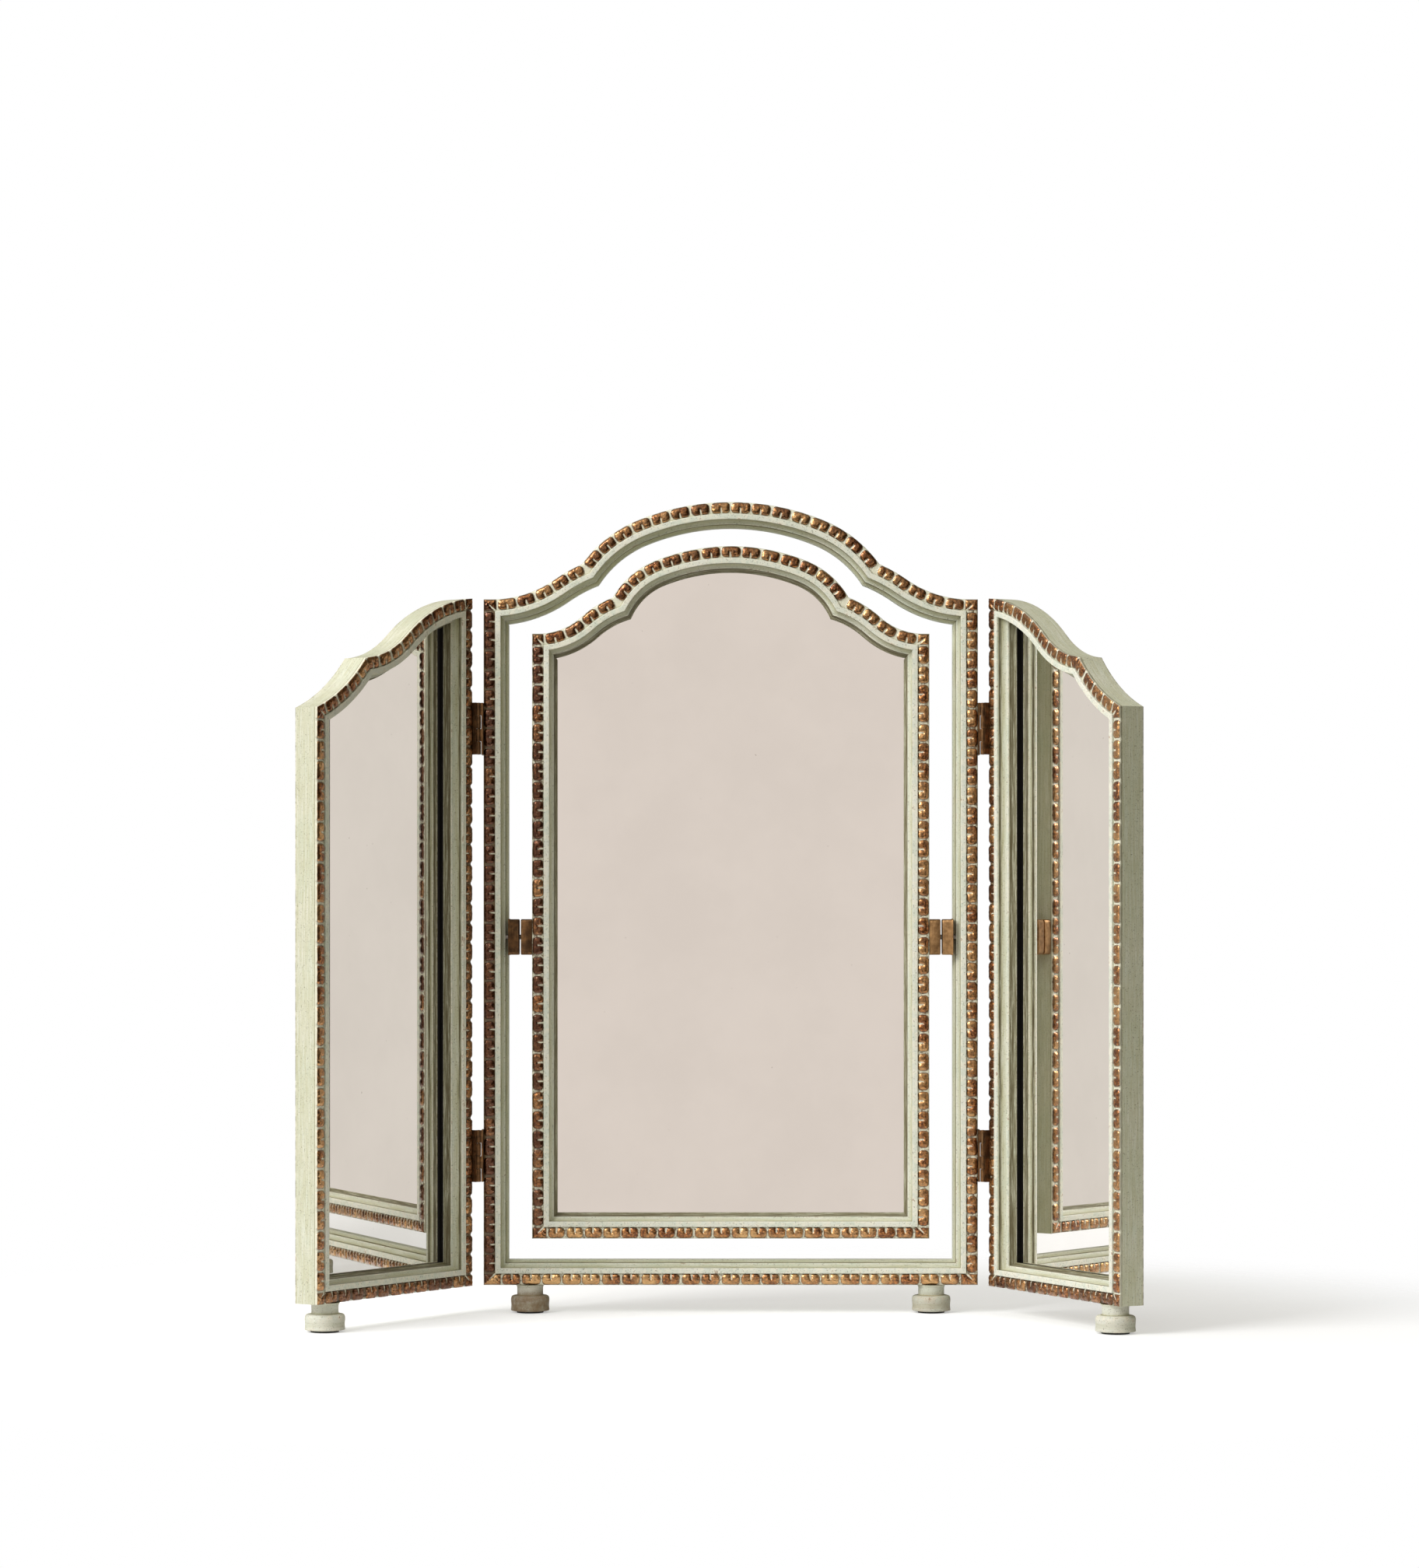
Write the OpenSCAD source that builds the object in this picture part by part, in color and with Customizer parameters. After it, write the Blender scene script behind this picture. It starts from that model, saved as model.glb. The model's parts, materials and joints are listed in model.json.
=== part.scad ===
// Free-standing dressing-table mirror in three shaped leaves.
// The middle frame stands on two turned feet and is open. An arched mirror hangs in it on two
// side pivots and tilts. A mirrored wing is hinged to each side and stands on a foot of its own.
// Front is -Y and up is +Z. The origin is on the table, under the middle of the whole piece.
//
// Each leaf is drawn flat as an outline that is walked anticlockwise, seen from the front, so that
// the wood lies on the left hand. Its moulding is carried along that outline and mitred at corners.

/* [Centre frame] */
// Width over the two stiles of the centre frame
centre_w = 477; // [465:1:540]
// Height of the square shoulders above the frame's lower edge
shoulder_h = 662; // [610:1:720]
// Radius of the middle of the arch
crown_r = 238; // [225:1:245]
// Half of the angle that the middle of the arch spans
crown_angle = 22; // [20:0.5:24]
// Radius of the tighter haunch on each side of the arch
haunch_r = 125; // [110:1:140]
// Slope of the arch where it ends against the shoulder
haunch_angle = 54; // [50:0.5:56]
// Length of the level shoulder beside each corner
shoulder_flat = 8.1; // [5:0.1:14]
// Steepest slope between the hollow and the swell above it
cove_angle = 35; // [32:0.5:37]
// Radius of the swell between the hollow and the arch
swell_r = 160; // [140:1:165]
// Slope of the swell where it meets the arch
swell_angle = 24; // [22:0.5:27]

/* [Tilting mirror] */
// Gap between the centre frame's inner edge and the tilting mirror at each side
side_gap = 23.1; // [21:0.1:26]
// Gap between the two frames at the bottom
bottom_gap = 21.2; // [14:0.1:30]
// Gap between the two frames at the top of the arch
top_gap = 18.8; // [14:0.1:22]
// Slope of the mirror's arch where it ends against its shoulder
tilt_haunch_angle = 60; // [56:0.5:62]
// Length of the mirror's level shoulder beside each corner
tilt_shoulder_flat = 5.8; // [3:0.1:10]
// Steepest slope of the mirror's shoulder
tilt_cove_angle = 42; // [38:0.5:43]
// Radius of the swell between the mirror's hollow and its arch
tilt_swell_r = 104; // [90:1:106]
// Slope of the mirror's swell where it meets the arch
tilt_swell_angle = 22; // [20:0.5:26]
// Height of the pivots above the centre frame's lower edge
pivot_h = 336; // [300:1:380]

/* [Wings] */
// Width of each wing
wing_w = 235.5; // [232:0.5:262]
// Slope of the wing's top edge at the hinge side
wing_top_angle = 5; // [3:0.5:8]
// Length of the straight slope between the wing's swell and the hollow beyond it
wing_run = 6.5; // [3:0.5:14]
// Steepest slope between the wing's swell and the hollow beyond it
wing_mid_angle = 38; // [36:0.5:39]
// Radius of the hollow between the swell and the cusp
wing_hollow_r = 115; // [100:1:118]
// Slope of the hollow where it meets the cusp
wing_cusp_angle = 5; // [3:0.5:8]
// Slope just beyond the cusp
wing_drop_angle = 49; // [46:0.5:50]
// Radius of the hollow that falls from the cusp to the outer corner
wing_drop_r = 174; // [160:1:176]
// Slope of that hollow at the outer corner
wing_corner_angle = 20; // [18:0.5:24]
// How far the left wing stands forward of the centre frame's plane, in degrees
left_open_angle = 56.8; // [0:0.1:120]
// How far the right wing stands forward of the centre frame's plane, in degrees
right_open_angle = 63.7; // [0:0.1:120]

/* [Moulding] */
// Thickness of every frame, front to back
frame_t = 28; // [26:0.5:34]
// Width of the gilt beading on the outer front edge
bead_w = 11.3; // [10:0.1:12.5]
// Depth of the seat that the beading lies in
bead_seat = 4.5; // [4:0.1:6]
// Width of the flat fillet inside the beading
fillet_w = 5.3; // [4:0.1:7]
// Width of the outer of the two hollows inside the fillet
outer_hollow_w = 3.2; // [2.6:0.1:4]
// Width of the small ledge between the two hollows
ledge_w = 0.8; // [0.6:0.1:1.2]
// Width of the inner hollow at the sight edge
inner_hollow_w = 3.1; // [2.6:0.1:4]
// Depth of the glass behind the front of the frame
glass_depth = 19.5; // [18.5:0.1:20.5]

/* [Glass and backs] */
// Thickness of the mirror glass
glass_t = 4; // [3:0.1:4.5]
// Width of the lip that the glass rests against
glass_lip = 6; // [5:0.1:7]
// Thickness of the backing boards
board_t = 3.5; // [3:0.1:4]
// How far a backing board reaches beyond its glass
board_margin = 7; // [5:0.1:8]
// Length of the backing board screws
board_screw_l = 12; // [9:0.5:14]

/* [Feet] */
// Height of a foot with its pad
foot_h = 27.2; // [24:0.1:36]
// Height of the turned neck above the foot's disc
neck_h = 10.4; // [7:0.1:11]
// Radius of the neck
neck_r = 12.5; // [10:0.1:13.5]
// Radius of the foot's disc
disc_r = 18.6; // [16:0.1:22]
// Radius of the pad under a foot
pad_r = 13; // [10:0.1:15]
// Thickness of the pad under a foot
pad_t = 2; // [1.5:0.1:3]
// Radius of the dowel that holds a foot in its rail
dowel_r = 4; // [3:0.1:5]
// Distance of each centre foot from the middle of the piece
centre_foot_x = 194; // [150:1:205]
// Distance of a wing's foot from the wing's outer edge
wing_foot_in = 26; // [20:0.5:60]

/* [Hinges] */
// Length of a butt hinge
hinge_l = 50; // [40:1:60]
// Height of the upper hinges' middle above the frames' lower edge
upper_hinge_z = 536.8; // [450:0.1:570]
// Height of the lower hinges' middle above the frames' lower edge
lower_hinge_z = 125; // [80:0.1:200]
// Width of a leaf, front to back
leaf_w = 20; // [18:0.5:22]
// Thickness of a leaf
leaf_t = 1.8; // [1.4:0.1:2]
// Outer radius of the knuckles
knuckle_r = 2.45; // [2.2:0.05:2.6]
// Radius of the hinge pin
hinge_pin_r = 1.3; // [1:0.05:1.6]
// How far the pin's axis stands in front of the frames
pin_proud = 2; // [1.5:0.1:3]
// Screws in one leaf
leaf_screws = 3; // [2:1:4]
// Length of a hinge screw
hinge_screw_l = 13; // [10:0.5:16]

/* [Pivots] */
// Height of a pivot block
block_h = 34.5; // [28:0.5:42]
// Depth of a pivot block, front to back
block_d = 20; // [16:0.5:22]
// Thickness of the block on the centre frame
frame_block_t = 10.4; // [9:0.1:11]
// Running gap between the two blocks of a pivot
block_gap = 1.8; // [1:0.1:2.5]
// Radius of a pivot pin
pivot_pin_r = 2.35; // [2:0.05:2.8]
// Wall of the bush that the pin turns in
bush_wall = 1.1; // [0.8:0.1:1.6]

/* [Hidden] */
$fn = 72;

paint = [0.72, 0.74, 0.60];
gilt = [0.62, 0.40, 0.20];
bronze = [0.33, 0.20, 0.12];
back_wood = [0.60, 0.46, 0.31];
silver = [0.82, 0.79, 0.76];
pad_black = [0.08, 0.08, 0.08];

// Clearances
running = 0.05;
screw_clear = 0.06;
knuckle_gap = 0.3;
edge_clear = 0.8;
leaf_clear = 0.25;
dowel_l = 10;

// Moulding, with r measured inwards from the outer edge and depths from the front
rail_w = bead_w + fillet_w + outer_hollow_w + ledge_w + inner_hollow_w;
fillet_d = 0.8;
quirk_d = 3.5;
outer_hollow_d = 11;
ledge_d = 13;
inner_hollow_d = glass_depth - 1;
hollow_r = 7.5;
bead_crown = 1.6;
bead_top_d = 0.4;
overrun = 13;

// Joints inside one rail or beading
hairline = 0.04;
core_l = 3;
core_in = 1.2;
core_inset = 0.15;
// Turn between the points of a glass's or a board's outline, in degrees
plan_step = 4;

// Rebates at the back of a glazed frame
glass_in = rail_w - glass_lip;
board_in = glass_in - board_margin;
board_d = frame_t - board_t;

// Places
mid_t = frame_t / 2;
half_w = centre_w / 2;
hinge_gap = knuckle_r + leaf_clear + leaf_t;
pin_x = half_w + hinge_gap;
tilt_half_w = half_w - rail_w - side_gap;
tilt_z = rail_w + bottom_gap;
mirror_block_t = side_gap - frame_block_t - block_gap;
leaf_len = hinge_gap + wing_w;

// The origin is set under the middle of the box round the whole piece
function reach_out(open) = pin_x + leaf_len * cos(open) + (pin_proud + frame_t) * sin(open);
function reach_front(open) = pin_proud + leaf_len * sin(open) - pin_proud * cos(open);
reach_back = mid_t + max(mid_t, disc_r);
origin_x = (reach_out(left_open_angle) - reach_out(right_open_angle)) / 2;
origin_y = (max(reach_front(left_open_angle), reach_front(right_open_angle)) - reach_back) / 2;

// A pose is [x, y, heading]. A stretch is [length, 0] when straight, and [angle, radius] when it
// turns, with a positive angle to the left.
function centre_of(p, s) = let(k = sign(s[0])) [p.x - k * s[1] * sin(p.z), p.y + k * s[1] * cos(p.z)];
function after(p, s) = s[1] == 0
    ? [p.x + s[0] * cos(p.z), p.y + s[0] * sin(p.z), p.z]
    : let(c = centre_of(p, s), k = sign(s[0]), h = p.z + s[0])
      [c.x + k * s[1] * sin(h), c.y - k * s[1] * cos(h), h];
function end_of(p, stretches, i = 0) =
    i == len(stretches) ? p : end_of(after(p, stretches[i]), stretches, i + 1);
function poses(p, stretches) =
    [for (i = [0 : len(stretches)]) end_of(p, [for (j = [0 : 1 : i - 1]) stretches[j]])];

// How far a stretch runs across and up, for an arc between two slopes
function across(r, a, b) = r * abs(sin(a) - sin(b));
function rise(r, a, b) = r * abs(cos(a) - cos(b));

// Outline of a leaf: one [start pose, stretches] for each side between two mitres
function closed_sides(first, sides, i = 0, p = undef) =
    let(start = i == 0 ? first : p)
    i == len(sides) ? [] : concat([[[start.x, start.y, sides[i][0]], sides[i][1]]],
        closed_sides(first, sides, i + 1, end_of([start.x, start.y, sides[i][0]], sides[i][1])));

// Radius of the hollow between the shoulder's level part and the swell, to fill the half width
function cove_fit(half, flat, cr, ca, hr, he, vs, sr, se) =
    (half - flat - across(cr, 0, ca) - across(hr, ca, he) - across(sr, vs, se)) / sin(vs);

// Arched leaf, as the centre frame and the tilting mirror have it
function arched_leaf(half, h, flat, cr, ca, hr, he, vr, vs, sr, se) = closed_sides([-half, 0, 0], [
        [0, [[2 * half, 0]]],
        [90, [[h, 0]]],
        [180, [[flat, 0], [-vs, vr], [vs - se, sr]]],
        [180 - he, [[he - ca, hr], [2 * ca, cr], [he - ca, hr]]],
        [180 + se, [[vs - se, sr], [-vs, vr], [flat, 0]]],
        [270, [[h, 0]]]
    ]);
cove_r = cove_fit(half_w, shoulder_flat, crown_r, crown_angle, haunch_r, haunch_angle, cove_angle,
    swell_r, swell_angle);
centre_leaf = arched_leaf(half_w, shoulder_h, shoulder_flat, crown_r, crown_angle, haunch_r,
    haunch_angle, cove_r, cove_angle, swell_r, swell_angle);
crown_h = shoulder_h + rise(cove_r, 0, cove_angle) + rise(swell_r, cove_angle, swell_angle)
    + rise(haunch_r, haunch_angle, crown_angle) + rise(crown_r, crown_angle, 0);

tilt_crown_r = crown_r - rail_w - top_gap;
tilt_haunch_r = haunch_r - rail_w - top_gap;
tilt_cove_r = cove_fit(tilt_half_w, tilt_shoulder_flat, tilt_crown_r, crown_angle, tilt_haunch_r,
    tilt_haunch_angle, tilt_cove_angle, tilt_swell_r, tilt_swell_angle);
tilt_rise = rise(tilt_cove_r, 0, tilt_cove_angle)
    + rise(tilt_swell_r, tilt_cove_angle, tilt_swell_angle)
    + rise(tilt_haunch_r, tilt_haunch_angle, crown_angle) + rise(tilt_crown_r, crown_angle, 0);
tilt_shoulder_h = crown_h - rail_w - top_gap - tilt_z - tilt_rise;
tilt_leaf = arched_leaf(tilt_half_w, tilt_shoulder_h, tilt_shoulder_flat, tilt_crown_r,
    crown_angle, tilt_haunch_r, tilt_haunch_angle, tilt_cove_r, tilt_cove_angle, tilt_swell_r,
    tilt_swell_angle);

// Right wing, from its hinge side at x = 0; the left wing is its mirror image
wing_swell_r = (wing_w - wing_run * cos(wing_mid_angle)
    - across(wing_hollow_r, wing_cusp_angle, wing_mid_angle)
    - across(wing_drop_r, wing_drop_angle, wing_corner_angle))
    / across(1, wing_top_angle, wing_mid_angle);
wing_outer_h = shoulder_h - rise(wing_swell_r, wing_top_angle, wing_mid_angle)
    - wing_run * sin(wing_mid_angle) - rise(wing_hollow_r, wing_cusp_angle, wing_mid_angle)
    - rise(wing_drop_r, wing_drop_angle, wing_corner_angle);
wing_leaf = closed_sides([0, 0, 0], [
    [0, [[wing_w, 0]]],
    [90, [[wing_outer_h, 0]]],
    [180 - wing_corner_angle, [[wing_corner_angle - wing_drop_angle, wing_drop_r]]],
    [180 - wing_cusp_angle, [[wing_cusp_angle - wing_mid_angle, wing_hollow_r], [wing_run, 0],
        [wing_mid_angle - wing_top_angle, wing_swell_r]]],
    [270, [[shoulder_h, 0]]]
]);

// Mitre after side i of a leaf: [corner, half of the turn, heading of the bisector]
function wrap(a) = a - 360 * floor((a + 180) / 360);
function mitre(leaf, i) =
    let(n = len(leaf), a = leaf[(i + n) % n], b = leaf[(i + 1) % n],
        e = end_of(a[0], a[1]), half_turn = wrap(b[0].z - e.z) / 2)
    [[e.x, e.y], half_turn, e.z + half_turn];

// Points of a leaf's outline moved inwards, for the flat pieces behind the moulding
function left_of(p, d) = [p.x - d * sin(p.z), p.y + d * cos(p.z)];
function stretch_points(p, s, d) = s[1] == 0
    ? [left_of(p, d)]
    : let(n = max(1, ceil(abs(s[0]) / plan_step)))
      [for (i = [0 : n - 1]) left_of(after(p, [s[0] * i / n, s[1]]), d)];
function ahead(pt, m) = (pt.x - m[0].x) * cos(m[2]) + (pt.y - m[0].y) * sin(m[2]);
function mitre_point(m, d) =
    [m[0].x - d / cos(m[1]) * sin(m[2]), m[0].y + d / cos(m[1]) * cos(m[2])];
function inset_side(leaf, i, d) =
    let(p = poses(leaf[i][0], leaf[i][1]), s = leaf[i][1], a = mitre(leaf, i - 1), b = mitre(leaf, i))
    concat([mitre_point(a, d)], [for (j = [0 : len(s) - 1]) for (pt = stretch_points(p[j], s[j], d))
        if (ahead(pt, a) > 0.5 && ahead(pt, b) < -0.5) pt]);
function inset(leaf, d) = [for (i = [0 : len(leaf) - 1]) each inset_side(leaf, i, d)];

// Centre of the circle of radius r through a and b, on the open side of the moulding
function hollow_centre(a, b, r) =
    let(m = (a + b) / 2, c = b - a, l = norm(c), k = sqrt(r * r - l * l / 4) / l)
    [m.x - c.y * k, m.y + c.x * k];

module hollow(a, b) intersection() {
    translate(hollow_centre(a, b, hollow_r)) circle(hollow_r);
    translate([a.x - 1, b.y]) square([hollow_r + 2, a.y - b.y]);
}

// Section of a rail, with x inwards from the outer edge and the front at y = 0
module rail_section(glazed) {
    hollow_x = bead_w + fillet_w;
    ledge_x = hollow_x + outer_hollow_w + ledge_w;
    difference() {
        translate([0, -frame_t]) square([rail_w, frame_t]);
        translate([-1, -bead_seat]) square([bead_w + 1, bead_seat + 1]);
        translate([bead_w - 0.5, -fillet_d]) square([rail_w, fillet_d + 1]);
        translate([hollow_x, -quirk_d]) square([rail_w, quirk_d + 1]);
        hollow([hollow_x, -quirk_d], [hollow_x + outer_hollow_w, -outer_hollow_d]);
        translate([ledge_x, -ledge_d]) square([rail_w, ledge_d]);
        hollow([ledge_x, -ledge_d], [rail_w, -inner_hollow_d]);
        translate([rail_w - 0.01, -inner_hollow_d]) square([1, inner_hollow_d]);
        if (glazed) {
            translate([glass_in, -frame_t - 1]) square([rail_w, frame_t - glass_depth + 1]);
            translate([board_in, -frame_t - 1]) square([rail_w, board_t + 1]);
        }
    }
}

// Section of the beading: a crowned strip that fills its seat
module bead_section() {
    crown_r2 = (bead_w * bead_w / 4 + bead_crown * bead_crown) / (2 * bead_crown);
    intersection() {
        translate([0, -bead_seat]) square([bead_w, bead_seat]);
        translate([bead_w / 2, -bead_top_d - crown_r2]) circle(crown_r2);
    }
}

// Cores that join the segments of a rail or beading, clear of the section's faces. A core through
// a mitre is thinner by core_inset, so that its faces never lie in those of a core beside it.
module rail_core(thinner = 0) translate([core_in + thinner, core_in + thinner - frame_t])
    square([board_in - 2 * (core_in + thinner), frame_t - bead_seat - 2 * (core_in + thinner)]);
module bead_core(thinner = 0) translate([0.4 * bead_w + thinner, core_in / 2 + thinner - bead_seat])
    square([0.2 * bead_w - 2 * thinner, bead_seat - bead_crown - core_in - 2 * thinner]);

// Carries a section along one stretch
module along(p, s) {
    if (s[1] == 0)
        translate([p.x, p.y, 0]) rotate([0, 0, p.z]) rotate([90, 0, 90])
            linear_extrude(s[0]) children();
    else if (s[0] > 0)
        translate(centre_of(p, s)) rotate([0, 0, p.z - 90])
            rotate_extrude(angle = s[0]) translate([s[1], 0]) mirror([1, 0]) children();
    else
        translate(centre_of(p, s)) rotate([0, 0, p.z + 90 + s[0]])
            rotate_extrude(angle = -s[0]) translate([s[1], 0]) children();
}

// The same stretch made longer by d at one end or both
function longer(s, d) = s[1] == 0 ? [s[0] + d, 0] : [s[0] + sign(s[0]) * d / s[1] * 180 / PI, s[1]];
function back_off(p, s, d) = s[1] == 0
    ? after(p, [-d, 0])
    : let(c = centre_of(p, s), k = sign(s[0]), h = p.z - k * d / s[1] * 180 / PI)
      [c.x + k * s[1] * sin(h), c.y - k * s[1] * cos(h), h];

// Takes away what lies beyond a mitre; way is 1 at a side's end and -1 at its start. Sides of one
// piece stop short of it by half a hairline.
module beyond(m, way, joined) {
    reach = 3 * overrun;
    short = joined ? hairline / 2 : 0;
    translate(m[0]) rotate([0, 0, m[2]])
        translate([way > 0 ? -short : short - reach, -1.5 * overrun, -frame_t - 2])
            cube([reach, 5 * overrun, frame_t + 4]);
}

// One side of a leaf, mitred at both ends. Its stretches are segments that meet end to end at a
// hairline, and a core that is narrower than the section runs through each such joint.
module leaf_side(leaf, i, joined_before, joined_after) {
    p = poses(leaf[i][0], leaf[i][1]);
    s = leaf[i][1];
    last = len(s) - 1;
    difference() {
        union() {
            for (j = [0 : last]) {
                before = j == 0 ? overrun : -hairline / 2;
                behind = j == last ? overrun : -hairline / 2;
                along(back_off(p[j], s[j], before), longer(s[j], before + behind)) children(0);
            }
            for (j = [1 : 1 : last]) core_at(p[j]) children(1);
        }
        beyond(mitre(leaf, i - 1), -1, joined_before);
        beyond(mitre(leaf, i), 1, joined_after);
    }
}
module core_at(p) along(after(p, [-core_l / 2, 0]), [core_l, 0]) children();
module mitre_core(leaf, i) {
    m = mitre(leaf, i);
    core_at([m[0].x, m[0].y, m[2]]) scale([1 / cos(m[1]), 1]) children();
}
module rails(leaf, sides, glazed) {
    last = len(sides) - 1;
    for (k = [0 : last]) leaf_side(leaf, sides[k], k > 0, k < last) {
        rail_section(glazed);
        rail_core();
    }
    for (k = [0 : 1 : last - 1]) mitre_core(leaf, sides[k]) rail_core(core_inset);
}
module beading(leaf) for (i = [0 : len(leaf) - 1]) {
    leaf_side(leaf, i, true, true) {
        bead_section();
        bead_core();
    }
    mitre_core(leaf, i) bead_core(core_inset);
}
module flat_piece(leaf, d, near, thick)
    translate([0, 0, -near - thick]) linear_extrude(thick) polygon(inset(leaf, d));

// Stands a flat leaf upright with its lower edge at height z
module upright(z) translate([0, 0, z]) rotate([90, 0, 0]) children();
module on_centre() translate([origin_x, origin_y, 0]) children();
module on_tilt() on_centre() upright(foot_h + tilt_z) children();

// Wing frame of reference: the hinge pin is the Z axis, the wing runs along +X
module at_pin(side) {
    open = side < 0 ? left_open_angle : right_open_angle;
    translate([origin_x + side * pin_x, origin_y - pin_proud, 0]) rotate([0, 0, -side * open])
        mirror([side < 0 ? 1 : 0, 0, 0]) children();
}
module on_wing(side) at_pin(side) translate([hinge_gap, pin_proud, 0]) children();
module wing_upright(side) on_wing(side) upright(foot_h) children();

// Countersunk screw along +Z from a head that is flush at z = 0
module screw(head_r, shank_r, l, clear = 0) {
    head_l = head_r - shank_r;
    translate([0, 0, -clear]) cylinder(r = shank_r + clear, h = l + 2 * clear);
    translate([0, 0, -clear]) cylinder(r1 = head_r + 2 * clear, r2 = shank_r + clear, h = head_l + clear);
}
hinge_screw = [2.7, 1.3];
board_screw = [3, 1.4];
module hinge_screw(clear = 0) screw(hinge_screw[0], hinge_screw[1], hinge_screw_l, clear);
module board_screw(clear = 0) screw(board_screw[0], board_screw[1], board_screw_l, clear);

// Foot: a turned neck and disc with a dowel, and the pad that it stands on
module foot() rotate_extrude() {
    disc_top = foot_h - neck_h;
    edge = 3;
    difference() {
        union() {
            translate([0, pad_t]) square([disc_r - edge, disc_top - pad_t]);
            translate([0, pad_t]) square([disc_r, disc_top - pad_t - edge]);
            intersection() {
                translate([disc_r - edge, disc_top - edge]) circle(edge);
                translate([disc_r - edge, disc_top - edge]) square(edge);
            }
            translate([0, disc_top - 1]) square([neck_r, neck_h + 1]);
            polygon([[0, foot_h - 2.4], [neck_r, foot_h - 2.4], [neck_r + 1.2, foot_h], [0, foot_h]]);
            translate([0, foot_h - 1]) square([dowel_r, dowel_l + 1]);
        }
        translate([disc_r + 5.6, pad_t + 5.5]) circle(6);
    }
}
module dowel_hole() translate([0, 0, foot_h - 1]) cylinder(r = dowel_r + running, h = dowel_l + 1.5);
module pad() cylinder(r = pad_r, h = pad_t);

// Butt hinge about the Z axis, seen from the pin: its leaf lies on a face at x = hinge_gap
knuckle_l = hinge_l / 4;
module leaf(upper_first) {
    difference() {
        union() {
            translate([hinge_gap - leaf_t, 0, -hinge_l / 2]) cube([leaf_t, leaf_w, hinge_l]);
            for (k = [0 : 1]) {
                z = hinge_l / 2 - knuckle_l * (2 * k + (upper_first ? 1 : 2)) + knuckle_gap / 2;
                h = knuckle_l - knuckle_gap;
                translate([0, 0, z]) cylinder(r = knuckle_r, h = h);
                translate([0, -leaf_t / 2, z]) cube([hinge_gap, leaf_t, h]);
            }
        }
        translate([0, 0, -hinge_l / 2 - 1]) cylinder(r = hinge_pin_r + running, h = hinge_l + 2);
        leaf_screw_places() hinge_screw(screw_clear);
    }
}
module leaf_screw_places() for (i = [0 : leaf_screws - 1]) {
    z = hinge_l * ((i + 0.5) / leaf_screws - 0.5);
    y = pin_proud + leaf_w * (i % 2 == 0 ? 0.62 : 0.36);
    translate([hinge_gap - leaf_t, y, z]) rotate([0, 90, 0]) children();
}
hinge_heights = [foot_h + upper_hinge_z, foot_h + lower_hinge_z];
module hinge_pin() translate([0, 0, -hinge_l / 2]) cylinder(r = hinge_pin_r, h = hinge_l);

// The same hinge on the centre frame's side, where the wood lies towards the middle
module at_frame_hinge(side, z) translate([origin_x + side * pin_x, origin_y - pin_proud, z])
    mirror([side > 0 ? 1 : 0, 0, 0]) children();
module at_wing_hinge(side, z) at_pin(side) translate([0, 0, z]) children();

// Pivot: the frame's block carries the pin, the mirror's block carries the bush
pivot_z = foot_h + pivot_h;
bush_r = pivot_pin_r + running + bush_wall;
pin_in_stile = 8;
module rounded_slab(t) {
    r = 1.2;
    rotate([0, 90, 0]) linear_extrude(t) {
        square([block_h, block_d - 2 * r], center = true);
        square([block_h - 2 * r, block_d], center = true);
        for (x = [-1, 1], y = [-1, 1])
            translate([x * (block_h / 2 - r), y * (block_d / 2 - r)]) circle(r);
    }
}
// x = 0 is the centre frame's inner edge and +X runs towards the mirror
module at_pivot(side) translate([origin_x + side * (half_w - rail_w), origin_y + mid_t, pivot_z])
    mirror([side > 0 ? 1 : 0, 0, 0]) children();
module x_rod(r, x0, x1) translate([x0, 0, 0]) rotate([0, 90, 0]) cylinder(r = r, h = x1 - x0);

// Backing screws, through the board's margin into the rails behind the moulding
board_screw_in = board_in + board_margin / 2;
function side_spots(leaf, i, parts, d) =
    let(p = leaf[i][0], l = leaf[i][1][0][0])
    [for (k = [1 : parts]) left_of(after(p, [l * (k - 0.5) / parts, 0]), d)];
tilt_crown_h = crown_h - rail_w - top_gap - tilt_z;
tilt_spots = concat(side_spots(tilt_leaf, 0, 3, board_screw_in),
    side_spots(tilt_leaf, 1, 4, board_screw_in), side_spots(tilt_leaf, 5, 4, board_screw_in),
    [[0, tilt_crown_h - board_screw_in]]);
wing_spots = concat(side_spots(wing_leaf, 0, 2, board_screw_in),
    side_spots(wing_leaf, 1, 3, board_screw_in), side_spots(wing_leaf, 4, 4, board_screw_in));
module board_screws(spots, clear = 0)
    for (s = spots) translate([s.x, s.y, -frame_t]) board_screw(clear);

// Centre frame
module centre_stile(side) color(paint) difference() {
    on_centre() upright(foot_h) rails(centre_leaf, [side < 0 ? 5 : 1], false);
    for (z = hinge_heights) at_frame_hinge(side, z) leaf_screw_places() hinge_screw(screw_clear);
    at_pivot(side) x_rod(pivot_pin_r + running, -pin_in_stile - 0.5, 1);
}
module centre_top_rail() color(paint) on_centre() upright(foot_h) rails(centre_leaf, [2, 3, 4], false);
module centre_bottom_rail() color(paint) on_centre() difference() {
    upright(foot_h) rails(centre_leaf, [0], false);
    for (x = [-centre_foot_x, centre_foot_x]) translate([x, mid_t, 0]) dowel_hole();
}
module centre_gilt_beading() color(gilt) on_centre() upright(foot_h) beading(centre_leaf);
module centre_foot(side) color(paint) on_centre() translate([side * centre_foot_x, mid_t, 0]) foot();
module centre_foot_pads() color(pad_black) on_centre()
    for (x = [-centre_foot_x, centre_foot_x]) translate([x, mid_t, 0]) pad();
module pivot_frame_block(side) color(bronze) at_pivot(side) difference() {
    rounded_slab(frame_block_t);
    x_rod(pivot_pin_r + running, -1, frame_block_t + 1);
}
module pivot_pin(side) color(bronze) at_pivot(side) x_rod(pivot_pin_r, -pin_in_stile, side_gap - 0.5);
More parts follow.
